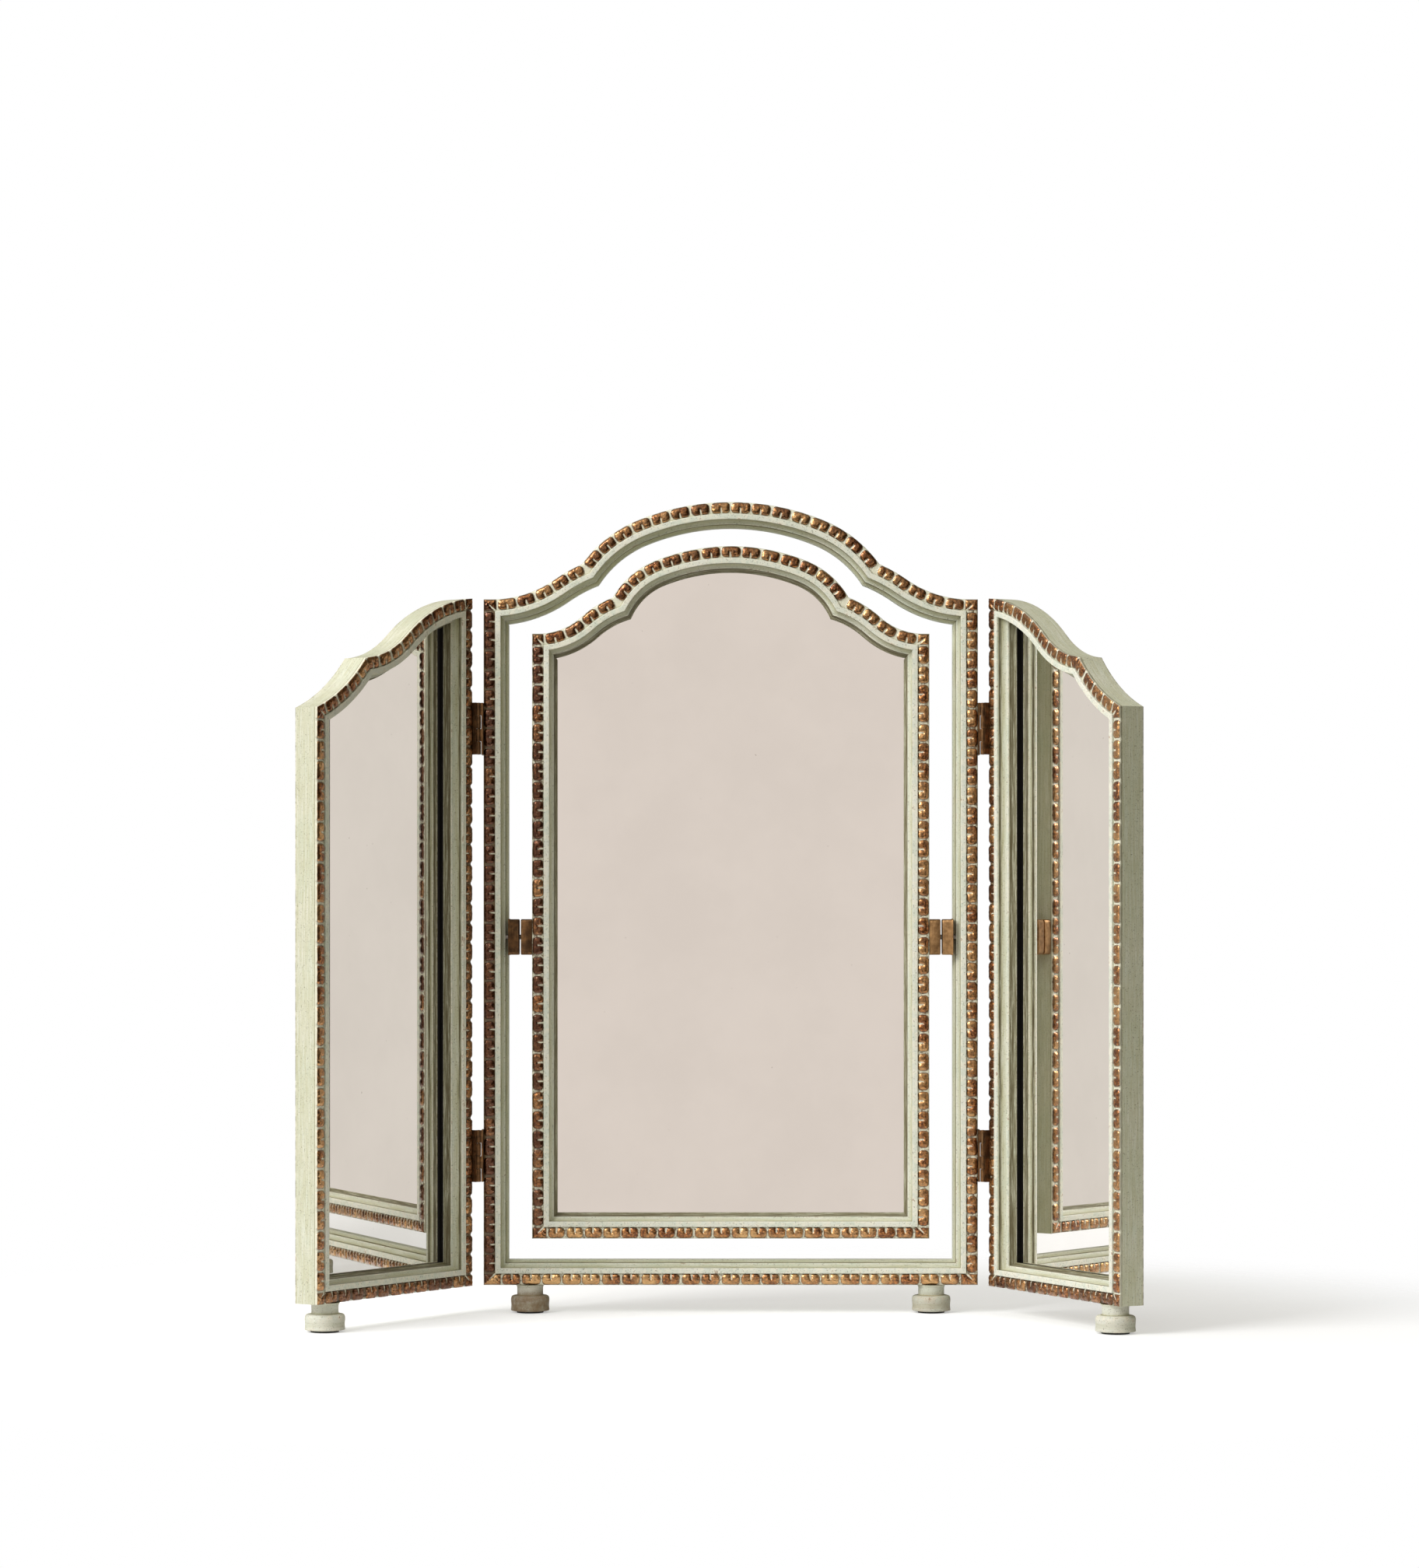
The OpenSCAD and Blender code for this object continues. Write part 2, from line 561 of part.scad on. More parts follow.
module hinge_frame_leaf(side, z) color(bronze) at_frame_hinge(side, z) leaf(true);
module hinge_pin_at(side, z) color(bronze) at_frame_hinge(side, z) hinge_pin();
module centre_hinge_screws() color(bronze) for (side = [-1, 1], z = hinge_heights)
    at_frame_hinge(side, z) leaf_screw_places() hinge_screw();

// Tilting mirror
module tilt_rails(sides) color(paint) on_tilt() difference() {
    rails(tilt_leaf, sides, true);
    board_screws(tilt_spots, screw_clear);
}
module tilt_gilt_beading() color(gilt) on_tilt() beading(tilt_leaf);
module tilt_glass() color(silver) on_tilt()
    flat_piece(tilt_leaf, glass_in + edge_clear, glass_depth, glass_t);
module tilt_backing_board() color(back_wood) on_tilt() difference() {
    flat_piece(tilt_leaf, board_in + edge_clear, board_d, board_t);
    board_screws(tilt_spots, screw_clear);
}
module tilt_backing_screws() color(bronze) on_tilt() board_screws(tilt_spots);
module pivot_mirror_block(side) color(bronze) at_pivot(side) difference() {
    translate([side_gap - mirror_block_t, 0, 0]) rounded_slab(mirror_block_t);
    x_rod(bush_r, 0, side_gap + 1);
}
module pivot_bush(side) color(bronze) at_pivot(side) difference() {
    x_rod(bush_r, side_gap - mirror_block_t, side_gap);
    x_rod(pivot_pin_r + running, 0, side_gap + 1);
}

// Wings
module wing_inner_stile(side) color(paint) difference() {
    wing_upright(side) difference() {
        rails(wing_leaf, [4], true);
        board_screws(wing_spots, screw_clear);
    }
    for (z = hinge_heights) at_wing_hinge(side, z) leaf_screw_places() hinge_screw(screw_clear);
}
module wing_rails(side, sides) color(paint) wing_upright(side) difference() {
    rails(wing_leaf, sides, true);
    board_screws(wing_spots, screw_clear);
}
module at_wing_foot(side) on_wing(side) translate([wing_w - wing_foot_in, mid_t, 0]) children();
module wing_bottom_rail(side) difference() {
    wing_rails(side, [0]);
    at_wing_foot(side) dowel_hole();
}
module wing_gilt_beading(side) color(gilt) wing_upright(side) beading(wing_leaf);
module wing_glass(side) color(silver) wing_upright(side)
    flat_piece(wing_leaf, glass_in + edge_clear, glass_depth, glass_t);
module wing_backing_board(side) color(back_wood) wing_upright(side) difference() {
    flat_piece(wing_leaf, board_in + edge_clear, board_d, board_t);
    board_screws(wing_spots, screw_clear);
}
module wing_backing_screws(side) color(bronze) wing_upright(side) board_screws(wing_spots);
module wing_foot(side) color(paint) at_wing_foot(side) foot();
module wing_foot_pad(side) color(pad_black) at_wing_foot(side) pad();
module hinge_wing_leaf(side, z) color(bronze) at_wing_hinge(side, z) leaf(false);
module wing_hinge_screws(side) color(bronze) for (z = hinge_heights)
    at_wing_hinge(side, z) leaf_screw_places() hinge_screw();

centre_stile(-1);  // centre_left_stile
centre_stile(1);  // centre_right_stile
centre_top_rail();
centre_bottom_rail();
centre_gilt_beading();
centre_foot(-1);  // centre_left_foot
centre_foot(1);  // centre_right_foot
centre_foot_pads();
pivot_frame_block(-1);  // left_pivot_frame_block
pivot_frame_block(1);  // right_pivot_frame_block
pivot_pin(-1);  // left_pivot_pin
pivot_pin(1);  // right_pivot_pin
hinge_frame_leaf(-1, hinge_heights[0]);  // left_upper_hinge_frame_leaf
hinge_frame_leaf(-1, hinge_heights[1]);  // left_lower_hinge_frame_leaf
hinge_frame_leaf(1, hinge_heights[0]);  // right_upper_hinge_frame_leaf
hinge_frame_leaf(1, hinge_heights[1]);  // right_lower_hinge_frame_leaf
hinge_pin_at(-1, hinge_heights[0]);  // left_upper_hinge_pin
hinge_pin_at(-1, hinge_heights[1]);  // left_lower_hinge_pin
hinge_pin_at(1, hinge_heights[0]);  // right_upper_hinge_pin
hinge_pin_at(1, hinge_heights[1]);  // right_lower_hinge_pin
centre_hinge_screws();
tilt_rails([5]);  // tilt_left_stile
tilt_rails([1]);  // tilt_right_stile
tilt_rails([2, 3, 4]);  // tilt_top_rail
tilt_rails([0]);  // tilt_bottom_rail
tilt_gilt_beading();
tilt_glass();
tilt_backing_board();
tilt_backing_screws();
pivot_mirror_block(-1);  // left_pivot_mirror_block
pivot_mirror_block(1);  // right_pivot_mirror_block
pivot_bush(-1);  // left_pivot_bush
pivot_bush(1);  // right_pivot_bush
wing_inner_stile(-1);  // left_wing_inner_stile
wing_rails(-1, [1]);  // left_wing_outer_stile
wing_rails(-1, [2, 3]);  // left_wing_top_rail
wing_bottom_rail(-1);  // left_wing_bottom_rail
wing_gilt_beading(-1);  // left_wing_gilt_beading
wing_glass(-1);  // left_wing_glass
wing_backing_board(-1);  // left_wing_backing_board
wing_backing_screws(-1);  // left_wing_backing_screws
wing_foot(-1);  // left_wing_foot
wing_foot_pad(-1);  // left_wing_foot_pad
hinge_wing_leaf(-1, hinge_heights[0]);  // left_upper_hinge_wing_leaf
hinge_wing_leaf(-1, hinge_heights[1]);  // left_lower_hinge_wing_leaf
wing_hinge_screws(-1);  // left_wing_hinge_screws
wing_inner_stile(1);  // right_wing_inner_stile
wing_rails(1, [1]);  // right_wing_outer_stile
wing_rails(1, [2, 3]);  // right_wing_top_rail
wing_bottom_rail(1);  // right_wing_bottom_rail
wing_gilt_beading(1);  // right_wing_gilt_beading
wing_glass(1);  // right_wing_glass
wing_backing_board(1);  // right_wing_backing_board
wing_backing_screws(1);  // right_wing_backing_screws
wing_foot(1);  // right_wing_foot
wing_foot_pad(1);  // right_wing_foot_pad
hinge_wing_leaf(1, hinge_heights[0]);  // right_upper_hinge_wing_leaf
hinge_wing_leaf(1, hinge_heights[1]);  // right_lower_hinge_wing_leaf
wing_hinge_screws(1);  // right_wing_hinge_screws
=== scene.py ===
# %% [markdown]
# # A folding dressing-table mirror, dressed for the camera
#
# The object is an old table mirror in three shaped leaves. The middle leaf is an open arched frame
# with a mirror that tilts inside it, and a narrower mirror is hinged to each side. Every frame is
# painted pale green, hollowed towards the glass, and edged with a carved and gilded beading.
#
# The engineering model already holds the true sizes, joints and hidden parts. This script loads it
# and never moves it. It then adds what the eye looks for: softened mouldings, the carving, worn
# paint, rubbed gilding, aged bronze and silvered glass.

import json
import math

import bpy
import numpy as np
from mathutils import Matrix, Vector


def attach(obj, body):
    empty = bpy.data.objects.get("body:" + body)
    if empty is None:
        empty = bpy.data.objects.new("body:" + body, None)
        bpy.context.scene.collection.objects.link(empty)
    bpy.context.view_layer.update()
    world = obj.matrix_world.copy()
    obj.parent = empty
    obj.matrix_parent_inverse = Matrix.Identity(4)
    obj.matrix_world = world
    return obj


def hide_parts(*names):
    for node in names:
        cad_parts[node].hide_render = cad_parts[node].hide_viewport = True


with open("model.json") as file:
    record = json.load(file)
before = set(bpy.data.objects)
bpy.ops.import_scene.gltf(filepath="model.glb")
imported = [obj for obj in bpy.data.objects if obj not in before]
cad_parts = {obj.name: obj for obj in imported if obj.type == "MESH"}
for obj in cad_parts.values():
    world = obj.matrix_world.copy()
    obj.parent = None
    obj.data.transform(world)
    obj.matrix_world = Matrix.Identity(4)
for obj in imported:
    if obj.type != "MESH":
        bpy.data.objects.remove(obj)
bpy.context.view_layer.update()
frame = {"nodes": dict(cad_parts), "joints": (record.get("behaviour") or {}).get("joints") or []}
joints = {joint["name"]: joint["pos_m"] for joint in frame["joints"]}

# %% [markdown]
# ## The outline of a leaf
#
# A cabinetmaker would saw each leaf's curves from a paper pattern of arcs and straight lines. A
# Bezier curve could be bent to look the same, but then nobody could say where a point at a given
# distance along the edge lies. A walk can: start at a corner with a heading, go straight or turn
# along a circle, and note where the edge is after every millimetre. The walk runs anticlockwise as
# seen from the front, so the wood always lies on the left hand.
#
# Lengths are in millimetres and are made metres at the very end.

# %% Sizes of the outlines, in millimetres and degrees
MM = 0.001
CENTRE_W, SHOULDER_H = 477.0, 662.0
TILT_W, TILT_SHOULDER_H = 383.4, 583.9
WING_W, WING_OUTER_H = 235.5, 546.2
FRAME_T = 28.0
FOOT_H, TILT_Z = 27.2, 44.9

# A stretch is (length, 0) where it is straight and (angle, radius) where it turns, left being plus.
CENTRE_SIDES = [
    (0, [(CENTRE_W, 0)]),
    (90, [(SHOULDER_H, 0)]),
    (180, [(8.1, 0), (-35, 105.04), (11, 160)]),
    (126, [(32, 125), (44, 238), (32, 125)]),
    (204, [(11, 160), (-35, 105.04), (8.1, 0)]),
    (270, [(SHOULDER_H, 0)]),
]
TILT_SIDES = [
    (0, [(TILT_W, 0)]),
    (90, [(TILT_SHOULDER_H, 0)]),
    (180, [(5.8, 0), (-42, 62.01), (20, 104)]),
    (120, [(38, 82.5), (44, 195.5), (38, 82.5)]),
    (202, [(20, 104), (-42, 62.01), (5.8, 0)]),
    (270, [(TILT_SHOULDER_H, 0)]),
]
WING_SIDES = [
    (0, [(WING_W, 0)]),
    (90, [(WING_OUTER_H, 0)]),
    (160, [(-29, 174)]),
    (175, [(-33, 115), (6.5, 0), (33, 185.03)]),
    (270, [(SHOULDER_H, 0)]),
]


# %% Walk along an outline
def advance(x, y, a, k, d):
    """Point and heading after a stretch of length d that starts with heading a and bend k.

    It ends with heading a + k d. The chord to its end has the heading a + k d / 2 and the length
    d sin(k d / 2) / (k d / 2).
    """
    chord = d * np.sinc(k * d / 2 / math.pi)
    return x + chord * np.cos(a + k * d / 2), y + chord * np.sin(a + k * d / 2), a + k * d


def draw_leaf(corner, sides):
    """Each side as rows of where its stretches start, their headings and bends (one over radius)."""
    leaf, (x, y) = [], corner
    for heading, stretches in sides:
        a, rows, gone = math.radians(heading), [], 0.0
        for size, radius in stretches:
            d = abs(math.radians(size)) * radius if radius else size
            k = math.copysign(1 / radius, size) if radius else 0.0
            rows.append((gone, x, y, a, k))
            x, y, a = advance(x, y, a, k, d)
            gone += d
        leaf.append({"rows": np.array(rows), "length": gone, "end": (x, y, a)})
    return leaf


def walk(side, s, r):
    """Point at distance s along a side and r inside it, which is to the left of the heading there."""
    rows = side["rows"]
    stretch = np.clip(np.searchsorted(rows[:, 0], s, "right") - 1, 0, len(rows) - 1)
    start, x, y, a, k = np.moveaxis(rows[stretch], -1, 0)
    x, y, heading = advance(x, y, a, k, s - start)
    return x - r * np.sin(heading), y + r * np.cos(heading)


LEAVES = {
    "centre": draw_leaf((-CENTRE_W / 2, 0), CENTRE_SIDES),
    "tilt": draw_leaf((-TILT_W / 2, 0), TILT_SIDES),
    "wing": draw_leaf((0, 0), WING_SIDES),
}
for name, leaf in LEAVES.items():
    print(name, "edge:", round(sum(side["length"] for side in leaf), 1), "mm round, ends at",
          np.round(leaf[-1]["end"][:2], 2))

# %% [markdown]
# ## Mitred corners
#
# Where two sides of a moulding meet, a joiner cuts both on the line that halves the corner. A line
# inside the edge therefore starts and stops later or earlier than the edge itself. Blender's curve
# bevel makes such corners too, but it stretches the whole side. Here only the last few centimetres
# are drawn out to the mitre, so the carving stays square to the edge everywhere else.


# %% Find the mitres
HALVINGS = 40


def within_half_turn(angle):
    """The same angle, between -pi and pi."""
    return (angle + math.pi) % (2 * math.pi) - math.pi


def corner_after(leaf, i):
    """Corner after side i and the heading that points straight across its mitre."""
    x, y, a = leaf[i]["end"]
    turn = within_half_turn(leaf[(i + 1) % len(leaf)]["rows"][0, 3] - a)
    return x, y, a + turn / 2, turn / 2


def reach_mitre(side, near, r, corner):
    """Distance s where the line at r inside the edge crosses the mitre, by halving a gap again and again."""
    x0, y0, across, _ = corner
    low, high = near - 2 * r - 1, near + 2 * r + 1
    for _ in range(HALVINGS):
        middle = (low + high) / 2
        x, y = walk(side, middle, r)
        short = (x - x0) * math.cos(across) + (y - y0) * math.sin(across) < 0
        low, high = np.where(short, middle, low), np.where(short, high, middle)
    return (low + high) / 2


def lay_side(leaf, i, s, r, draw_out):
    """Distance along side i for every place s of the edge and every line r inside it.

    The start and end are moved to the mitres, and the move fades out over draw_out millimetres.
    """
    side = leaf[i]
    length = side["length"]
    start = reach_mitre(side, 0.0, r, corner_after(leaf, i - 1))
    stop = reach_mitre(side, length, r, corner_after(leaf, i)) - length
    s = s[:, None]
    return s + start * np.clip(1 - s / draw_out, 0, 1) + stop * np.clip(1 - (length - s) / draw_out, 0, 1)


first_mitre = reach_mitre(LEAVES["centre"][1], 0.0, np.array([20.0]), corner_after(LEAVES["centre"], 0))
print("mitre of the centre's first corner, 20 mm in:", np.round(first_mitre, 2))

# %% [markdown]
# ## Standing the leaves up
#
# A leaf is drawn flat and then stood on the table. The centre frame and the tilting mirror only
# slide into place. A wing is also swung about its hinge pin. The places of the pins come from the
# joints of the engineering model, so both models always agree.

# %% Stand a flat drawing up in the room
HINGE_GAP, PIN_PROUD = 4.5, 2.0
OPEN = {"left": 56.8, "right": 63.7}
SIGN = {"left": -1, "right": 1}
ORIGIN_X = joints["mirror_tilt"][0] / MM
FRONT_Y = joints["mirror_tilt"][1] / MM - FRAME_T / 2


def stand(place, x, up, depth):
    """Room coordinates in metres of a point of a flat drawing.

    On a wing the point is first measured from the hinge pin, and then turned by the opening angle:
    across = u cos a + v sin a to the side, and -u sin a + v cos a to the back.
    """
    if place in SIGN:
        a = math.radians(OPEN[place])
        pin_x, pin_y = (joints[place + "_wing_hinge"][j] / MM for j in (0, 1))
        u, v = HINGE_GAP + x, PIN_PROUD + depth
        x = pin_x + SIGN[place] * (u * math.cos(a) + v * math.sin(a))
        y = pin_y - u * math.sin(a) + v * math.cos(a)
        return np.stack([x, y, FOOT_H + up + 0 * x], -1) * MM
    z = FOOT_H + up + (TILT_Z if place == "tilt" else 0)
    return np.stack([ORIGIN_X + x, FRONT_Y + depth + 0 * x, z], -1) * MM


BODY = {"centre": "centre_frame", "tilt": "tilting_mirror", "left": "left_wing", "right": "right_wing"}
DRAWING = {"centre": "centre", "tilt": "tilt", "left": "wing", "right": "wing"}
wing_tips = (stand(place, np.array(WING_W), np.array(0.0), np.array(0.0)) for place in SIGN)
print("wing tips at", *(np.round(tip, 3) for tip in wing_tips))

# %% [markdown]
# ## Skins
#
# All the shapes below are skins over a grid of points: rings of a section, one after the other. The
# rings either come back to the first one, or the two at the ends are closed with caps. Blender wants
# corners listed anticlockwise as seen from outside. A mirrored wing turns that round, so each skin's
# volume is measured first, and a skin with a negative volume is turned.


# %% Make a closed skin
CUBIC_CM = 1e6


def put(name, data):
    """Object that holds the data, placed in the scene."""
    thing = bpy.data.objects.new(name, data)
    bpy.context.scene.collection.objects.link(thing)
    return thing


def ring_faces(rings, across, closed):
    """Quads between neighbouring rings of a grid; each ring is a loop, and the rings may close too."""
    i, j = np.meshgrid(np.arange(rings if closed else rings - 1), np.arange(across), indexing="ij")
    up, on = (i + 1) % rings, (j + 1) % across
    return np.stack([i * across + j, i * across + on, up * across + on, up * across + j], -1).reshape(-1, 4)


def skin(node, ending, grid, closed, sharp, material, body, slot, **notes):
    """Skin over a grid of points, with its notes, its finish, its body and the node that it stands for.

    The volume is a sixth of the sum, over all triangles, of a . (b x c).
    """
    rings, across = grid.shape[:2]
    points, quads, caps = grid.reshape(-1, 3), ring_faces(rings, across, closed), []
    if not closed:
        caps = [np.arange(across)[::-1], np.arange(across) + (rings - 1) * across]
    fans = [np.stack([np.full(len(c) - 2, c[0]), c[1:-1], c[2:]], 1) for c in caps]
    triangles = np.concatenate([quads[:, [0, 1, 2]], quads[:, [0, 2, 3]], *fans])
    a, b, c = points[triangles].transpose(1, 0, 2)
    volume = np.einsum("ij,ij->", a, np.cross(b, c)) / 6
    if volume < 0:
        quads, caps = quads[:, ::-1], [c[::-1] for c in caps]
    sizes = np.array([4] * len(quads) + [len(c) for c in caps])
    corners = np.concatenate([quads.ravel(), *caps]).astype(np.int32)

    mesh = bpy.data.meshes.new(node + ending)
    mesh.vertices.add(len(points))
    mesh.vertices.foreach_set("co", points.astype(np.float32).ravel())
    mesh.loops.add(len(corners))
    mesh.loops.foreach_set("vertex_index", corners)
    mesh.polygons.add(len(sizes))
    mesh.polygons.foreach_set("loop_start", (np.cumsum(sizes) - sizes).astype(np.int32))
    mesh.update(calc_edges=True)
    mesh.polygons.foreach_set("use_smooth", np.ones(len(sizes), bool))
    if sharp:
        mesh.set_sharp_from_angle(angle=math.radians(sharp))
    for note, values in notes.items():
        single = values.ndim == 2
        layer = mesh.attributes.new(note, "FLOAT" if single else "FLOAT_VECTOR", "POINT")
        layer.data.foreach_set("value" if single else "vector", values.astype(np.float32).ravel())
    mesh.materials.append(material)
    thing = put(mesh.name, mesh)
    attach(thing, body)
    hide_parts(node)
    return f"{thing.name} {abs(volume) * CUBIC_CM:.1f} cm3"


print("a grid of 3 rings of 4 points, closed, has", len(ring_faces(3, 4, True)), "faces")

# %% [markdown]
# ## Building materials from nodes
#
# A material is a small program. These helpers only shorten the wiring. One adds a node and fills or
# links its inputs. The others are what every material here needs: noise, a threshold that cuts a
# pattern out of it, coats of colour laid over each other through such patterns, and a last step that
# wires colour, roughness and relief into the shader.


# %% Short ways to wire a material
def colour(red, green, blue):
    """Linear colour of a 0 to 255 screen colour: ((c / 255 + 0.055) / 1.055) to the power 2.4."""
    return tuple(((c / 255 + 0.055) / 1.055) ** 2.4 for c in (red, green, blue)) + (1.0,)


def new_material(name):
    """Material with a Principled shader, and the coordinates of whatever piece will wear it."""
    material = bpy.data.materials.new(name)
    material.use_nodes = True
    tree = material.node_tree
    return material, tree, tree.nodes["Principled BSDF"], add(tree, "ShaderNodeTexCoord").outputs["Object"]


def add(tree, kind, inputs=None, **settings):
    """Adds a node; an input is linked if its value is a socket and set if it is a number."""
    made = tree.nodes.new(kind)
    for key, value in settings.items():
        setattr(made, key, value)
    for key, value in (inputs or {}).items():
        if isinstance(value, bpy.types.NodeSocket):
            tree.links.new(value, made.inputs[key])
        else:
            made.inputs[key].default_value = value
    return made


def mix(tree, factor, a, b):
    """Colour a where the factor is 0 and colour b where it is 1."""
    return add(tree, "ShaderNodeMix", {0: factor, 6: a, 7: b}, data_type="RGBA").outputs[2]


def maths(tree, operation, a, b=0.0):
    """One sum on two numbers, kept between 0 and 1."""
    return add(tree, "ShaderNodeMath", {0: a, 1: b}, operation=operation, use_clamp=True).outputs[0]


def between(tree, value, low, high, most=1.0):
    """0 below low, `most` above high and a smooth ramp between."""
    inputs = {"Value": value, "From Min": low, "From Max": high, "To Max": most}
    return add(tree, "ShaderNodeMapRange", inputs, interpolation_type="SMOOTHSTEP").outputs[0]


def spread(tree, value, low, high, start=0.0, stop=1.0):
    """Straight ramp from low, where the value is start, to high, where it is stop."""
    inputs = {"Value": value, "From Min": start, "From Max": stop, "To Min": low, "To Max": high}
    return add(tree, "ShaderNodeMapRange", inputs).outputs[0]


def attribute(tree, name, output="Fac"):
    """Note that the points of a mesh carry."""
    return add(tree, "ShaderNodeAttribute", attribute_name=name).outputs[output]


def noise(tree, where, scale, detail=3.0, roughness=0.5):
    """Cloudy noise from 0 to 1 with lumps of about 1 / scale metres."""
    inputs = {"Vector": where, "Scale": scale, "Detail": detail, "Roughness": roughness}
    return add(tree, "ShaderNodeTexNoise", inputs).outputs["Fac"]


def stretched(tree, where, x, y, z):
    """The same coordinates, finer or coarser along each axis."""
    return add(tree, "ShaderNodeMapping", {"Vector": where, "Scale": (x, y, z)}).outputs[0]


def coats(tree, first, *layers):
    """A first colour and, over it, layers of (how much of it shows, colour), in 0 to 255 screen colours."""
    base = colour(*first)
    for amount, screen in layers:
        base = mix(tree, amount, base, colour(*screen))
    return base


def mix_shaders(tree, factor, a, b):
    """Shader a where the factor is 0 and shader b where it is 1."""
    return add(tree, "ShaderNodeMixShader", {0: factor, 1: a, 2: b}).outputs[0]


def surface(tree, shader, base, rough, *bumps):
    """Wires up colour, roughness and bumps of (height, metres that a height of 1 stands for, strength)."""
    links = {"Base Color": base, "Roughness": rough}
    for height, distance, strength in bumps:
        inputs = {"Height": height, "Distance": distance, "Strength": strength}
        if "Normal" in links:
            inputs["Normal"] = links["Normal"]
        links["Normal"] = add(tree, "ShaderNodeBump", inputs).outputs[0]
    for socket, value in links.items():
        tree.links.new(value, shader.inputs[socket])


print("paint green as a linear colour:", np.round(colour(205, 208, 180)[:3], 3))

# %% [markdown]
# ## Old paint
#
# The frames are painted in a pale grey-green with a cream undercoat. A brown glaze was wiped over
# the paint and stayed in the hollows and quirks, with a broken grain that follows the brush, and
# the arrises are rubbed down to the cream. The darkening in the hollows, the quirks and on the outer
# walls is painted shade as well as that glaze. An ambient-occlusion node could find the hollows, but
# it is noisy and slow. The section knows its own hollows, so each point carries three notes: where it
# lies along and around the moulding, how deep in a crevice it is, and how exposed its edge is. A
# crevice note above 1 marks the rebate behind the glass. It is painted near black, for its blacking
# and as painted shade in the gap behind the lip, so that its image in the mirror stays dark.


# %% Paint for the mouldings and feet
def old_paint(name, grime_and_shade=0.0):
    """Painted wood that reads the notes lay (metres along, metres around), crevice and edge.

    The grime argument is how much dirt and painted shade lie over the lowest centimetres, darker and browner,
    which only the feet need.
    """
    material, tree, shader, where = new_material(name)
    lay, crevice, edge = attribute(tree, "lay", "Vector"), attribute(tree, "crevice"), attribute(tree, "edge")
    clouds = noise(tree, where, 22.0, 4.0)
    strokes = noise(tree, stretched(tree, lay, 60, 900, 1), 1.0, 4.0, 0.65)
    grain = noise(tree, stretched(tree, lay, 14, 420, 1), 1.0, 3.0, 0.6)
    blotches = noise(tree, where, 140.0, 5.0, 0.65)
    specks = noise(tree, where, 900.0, 2.0, 0.5)
    streaks = noise(tree, stretched(tree, lay, 24, 520, 1), 1.0, 8.0, 0.74)
    mottle = noise(tree, where, 330.0, 6.0, 0.75)

    # Glaze and painted shade: the crevice note darkens the hollows, quirks and outer walls, most of all in
    # the quirks.
    wiped = maths(tree, "ADD", between(tree, streaks, 0.3, 0.64, 0.55), 0.42)
    glazed = maths(tree, "MULTIPLY", crevice, wiped)
    deepest = between(tree, crevice, 0.86, 1.0)
    settled_glaze_and_shade = maths(tree, "MULTIPLY", deepest, between(tree, streaks, 0.3, 0.5, 0.8))
    rubbed = maths(tree, "MULTIPLY", edge, between(tree, blotches, 0.44, 0.58, 0.75))
    bare = maths(tree, "MULTIPLY", edge, between(tree, blotches, 0.62, 0.68, 0.7))
    # Darker and browner towards the bottom of a foot: dirt and painted shade.
    low = between(tree, add(tree, "ShaderNodeSeparateXYZ", {0: lay}).outputs["Y"], 0.031, 0.013)
    soiled_and_shaded = maths(tree, "MULTIPLY", between(tree, blotches, -0.1, 0.66, grime_and_shade), low)
    paint = coats(
        tree, (208, 213, 197),
        (between(tree, clouds, 0.35, 0.7), (223, 222, 210)),
        (between(tree, strokes, 0.44, 0.74, 0.4), (186, 190, 160)),
        (between(tree, mottle, 0.5, 0.7, 0.4), (233, 231, 214)),
        # Glaze and painted shade in the hollows, darkest in the quirks.
        (between(tree, glazed, 0.1, 0.8), (186, 184, 150)),
        (between(tree, glazed, 0.68, 1.0), (112, 104, 68)),
        (settled_glaze_and_shade, (78, 68, 42)),
        (rubbed, (234, 228, 208)),
        (bare, (150, 112, 80)),
        (between(tree, specks, 0.62, 0.69, 0.65), (96, 84, 56)),
        (soiled_and_shaded, (126, 102, 72)),
        # Near black on the rebate: blacking and painted shade.
        (between(tree, crevice, 1.04, 1.16), (14, 12, 10)),
    )
    surface(tree, shader, paint, spread(tree, blotches, 0.42, 0.7),
            (grain, 0.0002, 0.6), (streaks, 0.00018, 0.7), (mottle, 0.00022, 0.6))
    shader.inputs["Specular IOR Level"].default_value = 0.35
    return material


painted_wood = old_paint("painted_wood")
print(painted_wood.name, "has", len(painted_wood.node_tree.nodes), "nodes")

# %% [markdown]
# ## The moulding
#
# Seen in section, a rail starts at the outside with a seat for the beading. A flat fillet follows,
# then a narrow quirk, and two steep hollows with a small ledge between them run down to the sight
# edge. At the back the rails of a glazed leaf are rebated for the glass and its board. A modelled
# section would stop at hard corners. Plane and paint leave them slightly round, and that small
# radius is what catches the light.

# %% Section of a rail
BEAD_W, SEAT_D, RAIL_W = 11.3, 4.5, 23.7
FILLET_D, QUIRK_X, QUIRK_D = 0.8, 16.6, 3.5
HOLLOW_R = 7.5
LEDGE_X, LEDGE_D, LEDGE_LOW = 19.8, 11.0, 13.0
INNER_X, SIGHT_D = 20.6, 18.5
GLASS_D, GLASS_IN, BOARD_IN, BOARD_D = 19.5, 17.7, 10.7, 24.5
# The rebate behind the glass is painted near black: its blacking, and painted shade in the gap behind the
# lip.
LIP, BLACKED_AND_SHADED = 0.7, 2  # flat behind the sight edge, and the crevice note of the blacked rebate


def arc_points(centre, start, stop, radius, count):
    """Points of an arc about a centre, from the direction of start to that of stop, the short way."""
    first, last = (math.atan2(*(p - centre)[::-1]) for p in (start, stop))
    angle = first + within_half_turn(last - first) * np.linspace(0, 1, count)
    return centre + radius * np.stack([np.cos(angle), np.sin(angle)], 1)


